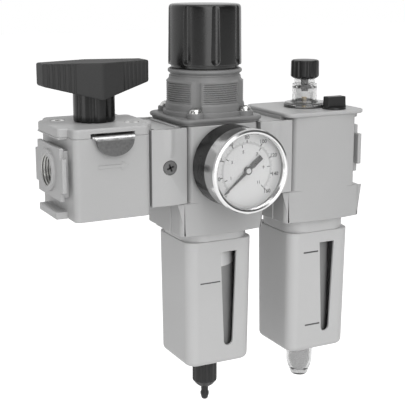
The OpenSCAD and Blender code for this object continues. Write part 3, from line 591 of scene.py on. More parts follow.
DARK_STEEL = moulded("phosphated_steel", 0.12, 0.45, 1500.0, 0.3, shine=0.6)
BORE_METAL = metal("machined_bore", (0.34, 0.34, 0.33), 0.3, (40.0, 4.0, 4.0))
CHROME = metal("chrome_plate", (0.58, 0.58, 0.58), 0.2, (3.0, 3.0, 3.0), 0.04, 0.06, 0.03)
BRASS = metal("turned_brass", (0.72, 0.56, 0.31), 0.28, (6.0, 6.0, 60.0))
RUBBER = moulded("nitrile_rubber", 0.022, 0.6, 700.0, 0.3)
SEAT_WHITE = moulded("seat_plastic", 0.75, 0.45, 700.0, 0.15, 0.04)
FILTER_MEDIA = moulded("sintered_media", 0.7, 0.85, 500.0, 1.0, 0.2)
# The grey, nearly opaque bowl wall is painted shade: it stands for the dark inside seen through the
# windows
BOWL_PLASTIC_PAINTED_SHADE = clear("bowl_polycarbonate_painted_shade", 0.38, 0.2, 0.2)
BAND_PLASTIC = clear("band_polycarbonate", 0.85, 0.1, 0.2)
NOSE_PLASTIC = clear("nose_polycarbonate", 0.48, 0.05, 1.0, 0.1)
DOME_PLASTIC = clear("dome_polycarbonate", 0.74, 0.05, 0.92, 0.1)
LENS_GLASS = clear("lens_glass", 0.99, 0.01, cloud=0.01)
DIAL_WHITE = painted("dial_lacquer", 0.65, 0.4, 600.0, 0.05)
DIAL_GREY = painted("dial_grey_print", 0.5, 0.5, 600.0, 0.05)
PRINT_BLACK = painted("black_print", 0.03, 0.5, 600.0, 0.05)
POINTER_BLACK = painted("pointer_lacquer", 0.04, 0.5, 700.0, 0.02)
POINTER_HUB = painted("pointer_hub_lacquer", 0.62, 0.35, 700.0, 0.08)
LEVEL_INK = painted("level_line_ink", 0.07, 0.6, 900.0, 0.1)


# Castings


def end_shapes(x, side):
    """End flange on its neck: a wide bar across a taller, narrower plate."""
    face = x + side * FLANGE_REACH
    back = face - side * FLANGE_T
    near = x + side * (BLOCK_HALF_W - 1)
    bar_u, bar_v = FLANGE_BAR
    plate_u, plate_v = FLANGE_PLATE
    outline = four_fold([], [(plate_u, -plate_v), (plate_u, -bar_v), (bar_u, -bar_v)])
    flange = prism(outline, back, face, way=endwise)
    neck = prism(box_outline(*FLANGE_NECK), near, back + side, way=endwise)
    return [flange, neck]


def lip_shape(x, side, reach, half_d, low, high):
    """Shelf at a casting's end."""
    near = x + side * (BLOCK_HALF_W - 1)
    outline = box_outline(half_d, (high - low) / 2, 0, (low + high) / 2)
    return prism(outline, near, x + side * reach, way=endwise)


def both_ends(x, *lips):
    """Flanges, necks and lips of a casting."""
    shapes = []
    for side in (-1, 1):
        shapes += end_shapes(x, side)
        shapes += [lip_shape(x, side, *lip) for lip in lips]
    return shapes


def finish_casting(piece, name, *nodes):
    dress(piece, name, "unit", "casting_paint", CASTING_PAINT, *nodes)


SLEEVE_T = 0.4
SLEEVE_LEAST_T = 0.05
ROWS_PER_TURN = 8
SLEEVE_INSET = 0.3
PORT_LEAD_IN = 1.6
LEAD_IN_SLOPE = 0.5
PORT_THREAD = (PORT_R, PORT_CREST_R, PORT_PITCH, PORT_DEPTH, endwise)
EXHAUST_THREAD = (EXHAUST_R, EXHAUST_CREST_R, EXHAUST_PITCH, EXHAUST_DEPTH, upright)


def make_thread(name, mouth, side, radius, crest, pitch, depth, way, at=(0, 0, 0)):
    """Helical turns of a pipe thread inside a port, as a thin sleeve."""
    steps = 72
    shell = crest + SLEEVE_T
    rows = [standing(circle(shell, steps), mouth - side * SLEEVE_INSET, at, way)]
    for w in spread(SLEEVE_INSET, depth, int(depth / pitch * ROWS_PER_TURN)):
        wider = max(0.0, PORT_LEAD_IN - w) * LEAD_IN_SLOPE
        row = []
        for k in range(steps):
            turn = (w / pitch - k / steps) % 1
            r = min(shell - SLEEVE_LEAST_T, radius + (crest - radius) * abs(2 * turn - 1) + wider)
            a = 2 * math.pi * k / steps
            row.append(way(r * math.cos(a), r * math.sin(a), mouth - side * w) + Vector(at))
        rows.append(row)
    rows.append(standing(circle(shell, steps), mouth - side * depth, at, way))
    dress(smooth(loft(rows, loop=True), angle=80), name, "unit", "bright_steel", BORE_METAL)


def make_valve_body():
    block = prism(rounded(BLOCK_HALF_W, VALVE_HALF_D, CORNER_R), VALVE_BOTTOM, COVER_SEAM, VALVE_AT)
    shapes = [rod(PORT_RING_R, INLET_X, INLET_X + PORT_RING_T, way=endwise)]
    lower_lip = (LOWER_LIP_REACH, LOWER_LIP_HALF_D, VALVE_BOTTOM, VALVE_BOTTOM + LOWER_LIP_T)
    upper_lip = (UPPER_LIP_REACH, UPPER_LIP_HALF_D, UPPER_LIP_Z, COVER_SEAM)
    shapes += both_ends(VALVE_X, lower_lip, upper_lip)
    holes = [
        rod(PORT_HOLE_R, INLET_X - 1, INLET_X + PORT_DEPTH, way=endwise),
        rod(EXHAUST_HOLE_R, VALVE_BOTTOM - 1, VALVE_BOTTOM + EXHAUST_DEPTH, VALVE_AT),
    ]
    body = soften(carve(block, shapes, holes), CASTING_EDGE)
    finish_casting(body, "valve_casting", "valve_body")
    make_thread("inlet_thread", INLET_X, -1, *PORT_THREAD)
    make_thread("exhaust_thread", VALVE_BOTTOM, -1, *EXHAUST_THREAD, VALVE_AT)


COVER_EDGE = 1.6
COVER_FOOT = 0.3
COVER_LIP_CORNER = 3
COVER_SCREW_AT = (20, -14.5)
COUNTERBORE_R = 4.8
COUNTERBORE_DEPTH = 3.6
CHANNEL_HALF_W = 14.7
CHANNEL_HALF_D = 21
CHANNEL_MIDDLE = 20 - VALVE_HALF_D
CHANNEL_TOP = 26.3


def make_valve_cover():
    height = COVER_TOP - COVER_SEAM
    rows = []
    for drop, inset in [(height, COVER_FOOT), (height - COVER_FOOT, 0), *rolled(COVER_EDGE, 6)]:
        outline = crossed(
            BLOCK_HALF_W - inset,
            VALVE_HALF_D - inset,
            CORNER_R - inset / 2,
            UPPER_LIP_REACH - inset,
            UPPER_LIP_HALF_D - inset,
            COVER_LIP_CORNER - inset / 2,
        )
        rows.append(standing(outline, COVER_TOP - drop, VALVE_AT))
    channel = box_outline(CHANNEL_HALF_W, CHANNEL_HALF_D, 0, CHANNEL_MIDDLE)
    cuts = [prism(channel, COVER_SEAM - 1, CHANNEL_TOP, VALVE_AT)]
    for sign in (-1, 1):
        place = (VALVE_X + sign * COVER_SCREW_AT[0], sign * COVER_SCREW_AT[1], 0)
        cuts.append(rod(COUNTERBORE_R, COVER_TOP - COUNTERBORE_DEPTH, COVER_TOP + 1, place, steps=48))
    cover = soften(carve(loft(rows), cut=cuts), width=0.25, segments=2)
    finish_casting(cover, "valve_cover_plate", "valve_cover")


LOCK_HALF_W = 14.3
LOCK_FRONT = 34
LOCK_T = 1.2
LOCK_BEND_R = 2.7
LOCK_LEAST_BEND = 15.0
LOCK_BACK = -4
LOCK_PLAY = 0.2
PULL_HALF_W = 12.5
PULL_DROP = 10.1
# The lock slide's steel is dark on the half-moon and gets a painted highlight along its bend
PULL_HIGHLIGHT_FADE = (LOCK_BEND_R + 0.3, 0.6 * LOCK_BEND_R)
PULL_DARK = 0.13
PULL_PAINTED_HIGHLIGHT = 0.62
PADLOCK_AT = -24
PADLOCK_R = 3.5


def lock_section(u, top):
    """Lock slide cut at a distance from its middle: flat, bent over, down to the half-moon's edge."""
    low = top - LOCK_BEND_R
    front = LOCK_FRONT + LOCK_BEND_R
    inside = max(0.0, 1 - (u / PULL_HALF_W) ** 2)
    edge = low - PULL_DROP * math.sqrt(inside)
    share = (LOCK_HALF_W - abs(u)) / (LOCK_HALF_W - PULL_HALF_W)
    bend = 90 if inside else max(LOCK_LEAST_BEND, 90 * share)
    outer = [(LOCK_BACK, top)] + arc(LOCK_FRONT, low, LOCK_BEND_R, 90, 90 - bend, 9)
    inner = [(LOCK_BACK, top - LOCK_T)] + arc(LOCK_FRONT, low, LOCK_BEND_R - LOCK_T, 90, 90 - bend, 9)
    if inside:
        outer.append((front, edge))
        inner.append((front - LOCK_T, edge))
    else:
        outer.append(outer[-1])
        inner.append(inner[-1])
    return [Vector((VALVE_X + u, -depth, z)) for depth, z in outer + inner[::-1]]


def make_lock_slide():
    top = highest("lock_slide").z - LOCK_PLAY
    # Painted highlight: the steel's colour rises from dark to bright across the bend
    paint_highlight_above(SLIDE_STEEL_AND_PAINTED_HIGHLIGHT, *(top - drop for drop in PULL_HIGHLIGHT_FADE), PULL_DARK, PULL_PAINTED_HIGHLIGHT)
    pull = [PULL_HALF_W * math.cos(a) for a in spread(math.pi, 0, 41)]
    ends = spread(PULL_HALF_W, LOCK_HALF_W, 5)[1:]
    across = [-u for u in reversed(ends)] + pull + ends
    plate = loft([lock_section(u, top) for u in across])
    hole = rod(PADLOCK_R, top - 4, top + 2, (VALVE_X, PADLOCK_AT, 0), steps=48)
    smooth(carve(plate, cut=[hole]), angle=35)
    dress(plate, "lock_slide_pull_tab", "lock_slide", "bright_steel", SLIDE_STEEL_AND_PAINTED_HIGHLIGHT, "lock_slide")


def bowl_casting(x, top):
    """Filter or lubricator casting: a bowed block that widens to a skirt below the couplings."""
    block = bowed(BLOCK_HALF_W, BODY_HALF_D, CORNER_R)
    skirt = bowed(SKIRT_HALF_W, BODY_HALF_D, CORNER_R)
    at = (x, 0, 0)
    levels = ((skirt, BODY_BOTTOM), (skirt, SKIRT_TOP), (block, SKIRT_TOP), (block, top))
    upper_lip = (UPPER_LIP_REACH, UPPER_LIP_HALF_D, UPPER_LIP_Z, top)
    end_pad = (END_PAD_REACH, END_PAD_HALF_D, BODY_BOTTOM, SKIRT_TOP)
    shapes = both_ends(x, upper_lip, end_pad)
    socket = rod(SOCKET_R, BODY_BOTTOM - 1, SOCKET_TOP, at)
    return loft([standing(outline, z, at) for outline, z in levels]), shapes, socket


DIAPHRAGM_SEAT_R = 24
DIAPHRAGM_SEAT_Z = BODY_TOP - 1.5
SENSING_R = 21
SENSING_FLOOR = 17
OUTLET_WELL_R = 9
SEAT_TOP = -6
SEAT_R = 5
SEAT_Z = -9
GUIDE_R = 8


def make_filter_body():
    """Filter casting, open inside for the diaphragm and the poppet."""
    block, shapes, socket = bowl_casting(FILTER_X, BODY_TOP)
    levels = [
        (DIAPHRAGM_SEAT_R, DIAPHRAGM_SEAT_Z, BODY_TOP + 1),
        (SENSING_R, SENSING_FLOOR, BODY_TOP),
        (OUTLET_WELL_R, SEAT_TOP, SENSING_FLOOR + 1),
        (SEAT_R, SEAT_Z - 1, SEAT_TOP + 1),
        (GUIDE_R, SOCKET_TOP - 1, SEAT_Z),
    ]
    bores = [rod(r, low, high, FILTER_AT) for r, low, high in levels]
    body = soften(carve(block, shapes, [socket, *bores]), CASTING_EDGE)
    finish_casting(body, "filter_casting", "regulator_body")


TOP_PLATE_T = 3
TOP_PLATE_LAP = 0.5
TOP_PLATE_CORNER = 7
TOP_PLATE_EDGE = 1.2
TOP_PLATE_OVERHANG = 0.8


def make_lubricator_body():
    plate_bottom = LUBRICATOR_TOP - TOP_PLATE_T
    block, shapes, socket = bowl_casting(OIL_X, plate_bottom + TOP_PLATE_LAP)
    shapes.append(rod(PORT_RING_R, OUTLET_X - PORT_RING_T, OUTLET_X, way=endwise))
    hole = rod(PORT_HOLE_R, OUTLET_X - PORT_DEPTH, OUTLET_X + 1, way=endwise)
    body = soften(carve(block, shapes, [socket, hole]), CASTING_EDGE)
    finish_casting(body, "lubricator_casting", "lubricator_body")
    make_thread("outlet_thread", OUTLET_X, 1, *PORT_THREAD)
    outline = rounded(UPPER_LIP_REACH, BODY_HALF_D + TOP_PLATE_OVERHANG, TOP_PLATE_CORNER, 12)
    plate = soften(prism(outline, plate_bottom, LUBRICATOR_TOP, OIL_AT), TOP_PLATE_EDGE, segments=4)
    finish_casting(plate, "lubricator_top_plate")


# Couplings

PLATE_HALF_W = 12.6
PLATE_HALF_H = 25.2
PLATE_FRONT = 30.2
PLATE_FALL = 1.4
PLATE_WEB_BACK = 27
HOOK_END = 21.5
HOOK_T = 1.3
RIB_HALF_W = 2.4
RIB_RISE = 1.1
RIB_FOOT = 5.5
RIB_RUNOUT = 6
SCREW_SEAT_R = 4.9
SCREW_SEAT_DEPTH = 1.4
PLATE_BORE_R = 3.6


def plate_front_at(u, z):
    """How far forward a coupling plate stands: folded on its centre line, with a rib above the screw."""
    runout = min(1.0, max(0.0, (z - RIB_FOOT) / RIB_RUNOUT))
    rib = RIB_RISE * math.exp(-((u / RIB_HALF_W) ** 2)) * runout
    return PLATE_FRONT - PLATE_FALL * abs(u) / PLATE_HALF_W + rib


def make_coupling_plate(x, side, name, node):
    across = spread(-PLATE_HALF_W, PLATE_HALF_W, 25)
    hook_u = PLATE_HALF_W - HOOK_T
    back = mirrored([(PLATE_HALF_W, HOOK_END), (hook_u, HOOK_END), (hook_u, PLATE_WEB_BACK)])
    rows = []
    for z in spread(-PLATE_HALF_H, PLATE_HALF_H, 29):
        outline = [(u, plate_front_at(u, z)) for u in across] + back
        rows.append([Vector((x + side * u, -side * depth, z)) for u, depth in outline])
    at = (x, 0, 0)
    seat_z = PLATE_FRONT - SCREW_SEAT_DEPTH
    seat = rod(SCREW_SEAT_R, side * seat_z, side * (PLATE_FRONT + 2), at, forward, 48)
    bore = rod(PLATE_BORE_R, side * (PLATE_WEB_BACK - 1), side * PLATE_FRONT, at, forward, 48)
    plate = soften(carve(loft(rows), cut=[seat, bore]), width=0.35, segments=2, angle=40)
    dress(plate, name, "unit", "casting_paint", PLATE_ENAMEL, node)


PLATE_SCREW_HEAD = [(0.6, -2.6), (2.6, -2.6), (4.6, -1.2), (4.6, -0.4)]
PLATE_SCREW_HEAD += [(4.3, -0.1), (2.2, 0.15), (0.6, 0.2)]
PLATE_SCREW_SINK = 0.1
RECESS = box_outline(2.6, 0.7)
RECESS_Z = (-2, 1)
# Depths of the black crosses that paint the shade deep in the screw recesses
RECESS_SHADE_Z = (-2.1, -0.7)
RECESS_TURN = math.radians(20)
STRIP_HALF_T = 7.7
STRIP_HALF_D = 21.5
STRIP_Z = (PLATE_HALF_H - 3, PLATE_HALF_H - 0.6)


def make_plate_screws(x, name, node):
    """Cross-recessed heads, one in each plate, with a black cross deep in each recess as painted shade."""
    at = (x, 0, 0)
    face = PLATE_FRONT - PLATE_SCREW_SINK
    heads = []
    shade_fills = []
    for side in (1, -1):
        head = turned([(r, side * h) for r, h in lifted(face, PLATE_SCREW_HEAD)], at, forward, 48)
        cuts = []
        for turn in (RECESS_TURN, RECESS_TURN + math.pi / 2):
            c = math.cos(turn)
            s = math.sin(turn)
            outline = [(u * c - v * s, u * s + v * c) for u, v in RECESS]
            for shapes, levels in ((cuts, RECESS_Z), (shade_fills, RECESS_SHADE_Z)):
                shapes.append(prism(outline, *(side * (face + z) for z in levels), at, forward))
        heads.append(carve(head, cut=cuts))
    dress(smooth(joined(heads), angle=30), name, "unit", "dark_screw", DARK_STEEL, node)
    # The black crosses are painted shade in the recesses, given the rubber's black
    dress(joined(shade_fills), f"{name}_recess_painted_shade", "unit", "dark_screw", RUBBER)


def make_coupling_strip(x, name):
    """Strip that closes the top of a coupling between its plates."""
    strip = prism(box_outline(STRIP_HALF_T, STRIP_HALF_D), *STRIP_Z, (x, 0, 0))
    finish_casting(soften(strip, width=0.4, segments=2), name)


# Handle

HANDLE_HALF_L = 36
HANDLE_HALF_D = 17
HANDLE_END_HALF_D = 7
HANDLE_TOP = highest("valve_handle").z
HANDLE_END_BOTTOM = 54
HANDLE_MID_BOTTOM = 44
HANDLE_EDGE = 1.3
GRIP_GROOVES = 6
GRIP_SPACING = 3.2
GRIP_R = 1
HUB_R = 13.65
HUB_FLUTES = 8
HUB_FLUTE_R = 3
HUB_FLUTE_PHASE = math.pi / 8
HUB_FLUTE_REACH = HUB_R + 2
HUB_LAP = 4
HUB_FOOT = [(0.8, 0.3), (0.3, 0.6), (0, 1.2)]


def hub_radius(inset, z, angle):
    r = notched_radius(HUB_R, angle, HUB_FLUTES, HUB_FLUTE_PHASE, HUB_FLUTE_REACH, HUB_FLUTE_R)
    return r - inset


def make_handle():
    plan = four_fold([], [(0, -HANDLE_HALF_D), (HANDLE_HALF_L, -HANDLE_END_HALF_D)])
    rise = (HANDLE_END_BOTTOM - HANDLE_MID_BOTTOM) / HANDLE_HALF_L
    bottom = [Vector((VALVE_X + u, v, HANDLE_MID_BOTTOM + rise * abs(u))) for u, v in plan]
    bar = soften(loft([bottom, standing(plan, HANDLE_TOP, VALVE_AT)]), HANDLE_EDGE, segments=4, angle=15)
    taper = (HANDLE_HALF_D - HANDLE_END_HALF_D) / HANDLE_HALF_L
    grooves = []
    for i in range(1, GRIP_GROOVES + 1):
        u = HANDLE_HALF_L - GRIP_SPACING * i
        v = HANDLE_HALF_D - taper * u + 0.5 * GRIP_R
        for su, sv in ((1, 1), (1, -1), (-1, 1), (-1, -1)):
            at = (VALVE_X + su * u, sv * v, 0)
            grooves.append(rod(GRIP_R, HANDLE_MID_BOTTOM, HANDLE_TOP + 1, at, steps=16))
    smooth(carve(bar, cut=[joined(grooves)]), angle=32)
    dress(bar, "handle_bar", "handle", "black_matte", HANDLE_BLACK, "valve_handle")
    insets = lifted(COVER_TOP, HUB_FOOT) + [(0, HANDLE_MID_BOTTOM + HUB_LAP)]
    hub = smooth(fluted(insets, VALVE_X, steps=160, radius_at=hub_radius), angle=50)
    dress(hub, "handle_hub", "handle", "black_matte", HUB_BLACK)


# Bonnet and adjusting knob

BONNET_HALF_W = 31
BONNET_HALF_D = 30
BONNET_CORNER = 9
BONNET_STEP_Z = 30
BONNET_STEP_R = 28.5
BONNET_EDGE = 1.5
BONNET_FOOT = [(0, 1.3), (1.3, 1.3), (1.6, 1), (1.9, 0.3), (2.3, 0)]
BOSS_TOP = 33.3
BOSS_R = 5.6
BONNET_SCREW_U = 18.5
BONNET_SCREW_V = 23
BONNET_SCREW_REACH = math.hypot(BONNET_SCREW_U, BONNET_SCREW_V)
BONNET_SCREW_OFFSETS = [(su * BONNET_SCREW_U, sv * BONNET_SCREW_V) for su in (-1, 1) for sv in (-1, 1)]
BONNET_SCREW_ANGLES = [math.atan2(v, u) for u, v in BONNET_SCREW_OFFSETS]
BONNET_SCREW_PLACES = [(FILTER_X + u, v, 0) for u, v in BONNET_SCREW_OFFSETS]
SCALLOP_R = 4.6
SCALLOP_TOP = 54.5
SPRING_BORE_R = 20
SCREW_BORE_R = 5.1
THREAD_R = 26.25
THREAD_Z = (38.2, 52.5)
THREAD_PITCH = 1.43
THREAD_DEPTH = 0.75
THREAD_FADE = math.radians(12)
THREAD_RUNOUT = 0.8
NECK_FOOT = BOSS_TOP - 0.6
NECK_R = 26.9
NECK_WALL = [(NECK_R, z) for z in (NECK_FOOT, BOSS_TOP, BOSS_TOP + 0.1, 36.9)]
NECK_WALL += [(26.75, 37.3), (26.4, 37.9)]
NECK_CROWN = [(25.4, 53.1), (24.8, 53.7), (24.5, 54.4), (24.5, 54.6), (24.3, 56), (23.7, 56.4)]
NECK_CROWN += [(23.6, 56.9), (23.7, 57.4), (24.4, 57.9), (25, 58.4), (25.25, 59), (25.2, 59.8)]
NECK_CROWN += [(24.8, 60.4), (24, 60.8), (21, 60.9), (20.6, 61.2), (20.5, 66), (17, 66), (17, 61.5)]
NECK_BORE = [(SCREW_BORE_R, 61.5), (SCREW_BORE_R, 56), (SPRING_BORE_R, 56), (SPRING_BORE_R, NECK_FOOT)]


def bonnet_radius(profile_r, z, angle):
    """Turned radius of the bonnet, with its thread and the scallops over the screw heads."""
    nearest = min(abs((angle - a + math.pi) % (2 * math.pi) - math.pi) for a in BONNET_SCREW_ANGLES)
    r = profile_r
    low, high = THREAD_Z
    if low < z < high:
        turn = ((z - low) / THREAD_PITCH - angle / (2 * math.pi)) % 1
        fade = min(1.0, max(0.0, (nearest - THREAD_FADE * 0.75) / (THREAD_FADE * 0.25)))
        ends = min(1.0, (z - low) / THREAD_RUNOUT, (high - z) / THREAD_RUNOUT)
        r -= THREAD_DEPTH * fade * ends * (0.5 - 0.5 * math.cos(2 * math.pi * turn)) ** 1.5
    across = BONNET_SCREW_REACH * math.sin(nearest)
    if BOSS_TOP < z < SCALLOP_TOP and across < SCALLOP_R and nearest < 1:
        r = min(r, BONNET_SCREW_REACH * math.cos(nearest) - math.sqrt(SCALLOP_R**2 - across**2))
    return r


def make_bonnet():
    """Flange with bosses for its screws, and a hollow neck with a panel thread."""
    rows = []
    height = BONNET_STEP_Z - BODY_TOP
    foot = [(height - rise, inset) for rise, inset in BONNET_FOOT]
    for drop, inset in foot + rolled(BONNET_EDGE, 6):
        outline = rounded(BONNET_HALF_W - inset, BONNET_HALF_D - inset, BONNET_CORNER - inset / 2, 10)
        rows.append(standing(outline, BONNET_STEP_Z - drop, FILTER_AT))
    bosses = [rod(BOSS_R, BONNET_STEP_Z - 2, BOSS_TOP, place, steps=48) for place in BONNET_SCREW_PLACES]
    step = rod(BONNET_STEP_R, BONNET_STEP_Z - 1, BOSS_TOP, FILTER_AT, steps=128)
    bore = rod(SPRING_BORE_R, BODY_TOP - 1, BOSS_TOP + 1, FILTER_AT)
    flange = soften(carve(loft(rows), [*bosses, step], [bore]), width=0.8)
    dress(flange, "bonnet_flange", "unit", "bonnet_grey", BONNET_GREY, "bonnet")
    thread = [(THREAD_R, z) for z in spread(*THREAD_Z, 72)]
    profile = NECK_WALL + thread + NECK_CROWN + NECK_BORE
    neck = smooth(fluted(profile, FILTER_X, steps=288, radius_at=bonnet_radius, loop=True), angle=42)
    dress(neck, "bonnet_neck", "unit", "bonnet_grey", BONNET_GREY)


SCREW_DOME = [(4.25, 0), (4.25, 0.5), (4.05, 1.2), (3.6, 1.9), (2.9, 2.6), (2.2, 3)]
HEX_R = 1.9
HEX_Z = (BOSS_TOP + 1, BOSS_TOP + 4)


def make_bonnet_screws():
    """Domed heads with a hexagon socket."""
    heads = []
    for at in BONNET_SCREW_PLACES:
        head = turned(lifted(BOSS_TOP, SCREW_DOME), at, steps=48)
        heads.append(carve(head, cut=[rod(HEX_R, *HEX_Z, at, steps=6)]))
    screws = smooth(joined(heads), angle=35)
    dress(screws, "bonnet_button_screws", "unit", "bright_steel", STEEL, "bonnet_screws")


def hold_between(piece, name, material, node):
    """Names a piece and gives it its finish, bakes its place into its mesh and hides the node it stands
    for.
    """
    coat(piece, name, material)
    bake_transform(piece)
    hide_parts(node)


def make_spring(node, name):
    """A coil copied from its node, standing in its place."""
    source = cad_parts[node]
    spring = put_in_scene(name, source.data.copy())
    spring.matrix_world = source.matrix_world.copy()
    hold_between(spring, name, STEEL, node)


DIAPHRAGM_R = 23.8
DIAPHRAGM_BORE_R = 3
DIAPHRAGM_FOLD = (17.5, 21)
DIAPHRAGM_RIM = (24, 24.7)
DIAPHRAGM_CENTRE = (25, 25.7)


def make_diaphragm():
    """A rim held in the casting's seat and a raised centre under the plate, with a cone between them."""
    inner, outer = DIAPHRAGM_FOLD
    rim_low, rim_high = DIAPHRAGM_RIM
    low, high = DIAPHRAGM_CENTRE
    profile = [(DIAPHRAGM_R, rim_low), (DIAPHRAGM_R, rim_high), (outer, rim_high), (inner, high)]
    profile += [(DIAPHRAGM_BORE_R, high), (DIAPHRAGM_BORE_R, low), (inner, low), (outer, rim_low)]
    sheet = smooth(turned(profile, FILTER_AT, loop=True), angle=30)
    hold_between(sheet, "diaphragm_disc", RUBBER, "diaphragm")


KNOB_R = 24.9
KNOB_Z0 = 63.3
KNOB_TOP = highest("adjusting_knob").z
KNOB_FLUTES = 8
KNOB_FLUTE_PHASE = math.radians(-10)
KNOB_FLUTE_REACH = 28.5
KNOB_FLUTE_R = 4.8
KNOB_FLUTE_END = 67.3
KNOB_TAPER = 0.6
KNOB_SKIRT = [(21.6, 66.3), (21.6, 61.6), (21.8, 61.5), (22.8, 61.5), (23, 61.7), (23, KNOB_Z0)]
KNOB_LIP = [(24.4, KNOB_Z0), (24.8, 63.45), (KNOB_R, 63.9)]
KNOB_WALL_Z = spread(64.4, 69.4, 11) + spread(72, KNOB_TOP - 3, 12)
KNOB_CROWN = [(24.2, -2), (23.9, -1.2), (23.3, -0.6), (22.4, -0.2), (21.4, -0.05), (19.5, 0)]


def knob_radius(profile_r, z, angle):
    """Turned radius of the knob, with flutes that run out above its lip."""
    if z <= KNOB_Z0:
        return profile_r
    below = max(0.0, KNOB_FLUTE_END - z)
    cutter = math.sqrt(max(0.0, KNOB_FLUTE_R**2 - below**2))
    return notched_radius(profile_r, angle, KNOB_FLUTES, KNOB_FLUTE_PHASE, KNOB_FLUTE_REACH, cutter)


def make_adjusting_knob():
    wall = [(KNOB_R - KNOB_TAPER * (z - KNOB_Z0) / (KNOB_TOP - KNOB_Z0), z) for z in KNOB_WALL_Z]
    profile = KNOB_SKIRT + KNOB_LIP + wall + lifted(KNOB_TOP, KNOB_CROWN)
    knob = smooth(fluted(profile, FILTER_X, steps=384, radius_at=knob_radius), angle=55)
    dress(knob, "adjusting_knob_cup", "adjusting_knob", "black_gloss", KNOB_BLACK, "adjusting_knob")


# Bowl guards

GUARD_HALF_W = 25.3
GUARD_LOW_HALF_W = 24.3
GUARD_CORNER = 8
GUARD_TOP = -54.4
GUARD_WALL = 2
GUARD_FLOOR = 3
GUARD_FILLET = 4
GUARD_SHOULDER = [(0, 0.9), (0.3, 0.25), (0.9, 0)]
GUARD_NECK_HALF_W = 25
GUARD_NECK_CORNER = 15.5
GUARD_NECK_GAP = 0.3
OIL_BOWL_DROP = 3
COLLAR_R = 22.5
COLLAR_BORE_R = 19.9
COLLAR_TOP = -33.2
WINDOW_Z = (-131, -63)
WINDOW_TOP_EDGES = (-0.5, 11.7)
WINDOW_LOW_X = 6.1
WINDOW_LOW_R = 3.45
WINDOW_DEPTH = (16, GUARD_HALF_W + 4)
LINE_ROOT = 0.3
LINE_RISE = 0.05


class Guard:
    """Square bowl guard: it tapers to a rolled bottom, with a rounder neck and a window front and back."""

    def __init__(self, node, body, x, hole_r, drop):
        self.node = node
        self.body = body
        self.x = x
        self.hole_r = hole_r
        self.drop = drop
        self.top = GUARD_TOP - drop
        self.bottom = lowest(node).z

    def half_width(self, z):
        return GUARD_HALF_W + (GUARD_LOW_HALF_W - GUARD_HALF_W) * (self.top - z) / (self.top - self.bottom)

    def square(self, z, inset):
        half = self.half_width(z) - inset
        return standing(rounded(half, half, max(2.0, GUARD_CORNER - inset), 11), z, (self.x, 0, 0))

    def neck(self, z):
        outline = rounded(GUARD_NECK_HALF_W, GUARD_NECK_HALF_W, GUARD_NECK_CORNER, 11)
        return standing(outline, z, (self.x, 0, 0))

    def ring(self, z, radius):
        """Circle with its points in line with those of the neck."""
        aim = [Vector((p.x - self.x, p.y, 0)).normalized() for p in self.neck(z)]
        return [Vector((self.x + radius * d.x, radius * d.y, z)) for d in aim]

    def rolled_edge(self, bottom, wall):
        """Rows from the straight wall round to the floor."""
        edge = rolled(GUARD_FILLET - wall, 8)
        return [self.square(bottom + rise, wall + inset) for rise, inset in edge]

    def window(self, side):
        low, high = (z - self.drop for z in WINDOW_Z)
        outline = [(u, high) for u in WINDOW_TOP_EDGES]
        outline += arc(WINDOW_LOW_X, low + WINDOW_LOW_R, WINDOW_LOW_R, 0, -180, 13)
        outline = [(self.x + side * u, v) for u, v in outline]
        return prism(outline, *(side * depth for depth in WINDOW_DEPTH), way=forward)

    def build(self, name):
        floor = self.bottom + GUARD_FLOOR
        collar_top = COLLAR_TOP - self.drop
        neck_top = BODY_BOTTOM - GUARD_NECK_GAP
        rows = [self.ring(collar_top, COLLAR_BORE_R), self.ring(collar_top, COLLAR_R)]
        rows += [self.ring(neck_top, COLLAR_R), self.neck(neck_top), self.neck(self.top)]
        rows += [self.square(self.top - drop, inset) for drop, inset in GUARD_SHOULDER]
        rows += self.rolled_edge(self.bottom, 0)
        rows += [self.ring(self.bottom, self.hole_r), self.ring(floor, self.hole_r)]
        rows += reversed(self.rolled_edge(floor, GUARD_WALL))
        ceiling = self.top - GUARD_FLOOR
        rows += [self.square(ceiling, GUARD_WALL), self.ring(ceiling, COLLAR_BORE_R)]
        guard = carve(loft(rows, loop=True), cut=[self.window(1), self.window(-1)])
        soften(guard, width=0.3, segments=2, angle=50)
        dress(guard, name, self.body, "casting_paint", GUARD_PAINT, self.node)

    def level_line(self, name, start, end, z, half_t):
        """Printed line on the front of the guard."""
        face = self.half_width(z)
        outline = box_outline((end - start) / 2, half_t, self.x + (start + end) / 2, z)
        line = prism(outline, face - LINE_ROOT, face + LINE_RISE, way=forward)
        dress(line, name, self.body, "pointer_black", LEVEL_INK)


# Bowls

BOWL_R = 19.5
BOWL_WALL = 2.2
BOWL_FLANGE_R = 22.4
BOWL_FLANGE_T = 3.2
BOWL_BORE_R = BOWL_R - BOWL_WALL
FLOOR_OUTSIDE = [(BOWL_R, 5), (BOWL_R - 0.4, 3), (BOWL_R - 1.8, 1.2), (BOWL_R - 5, 0)]
FLOOR_INSIDE = [(BOWL_R - 6, 3), (BOWL_BORE_R - 0.6, 5), (BOWL_BORE_R, 7)]
CLEAR_BAND_END = -75
BAND_GAP = 0.05
DRAIN_HOLE = [(5.2, 0), (5.2, 3)]


def bowl_rim(top):
    """Flange of a bowl, from its bore round to its outer wall."""
    low = top - BOWL_FLANGE_T
    return [(BOWL_BORE_R, top), (BOWL_FLANGE_R, top), (BOWL_FLANGE_R, low), (BOWL_R, low)]


def bowl_floor(floor, hole):
    """Rounded floor of a bowl, with the edges of a hole in it."""
    return lifted(floor, FLOOR_OUTSIDE + hole + FLOOR_INSIDE)


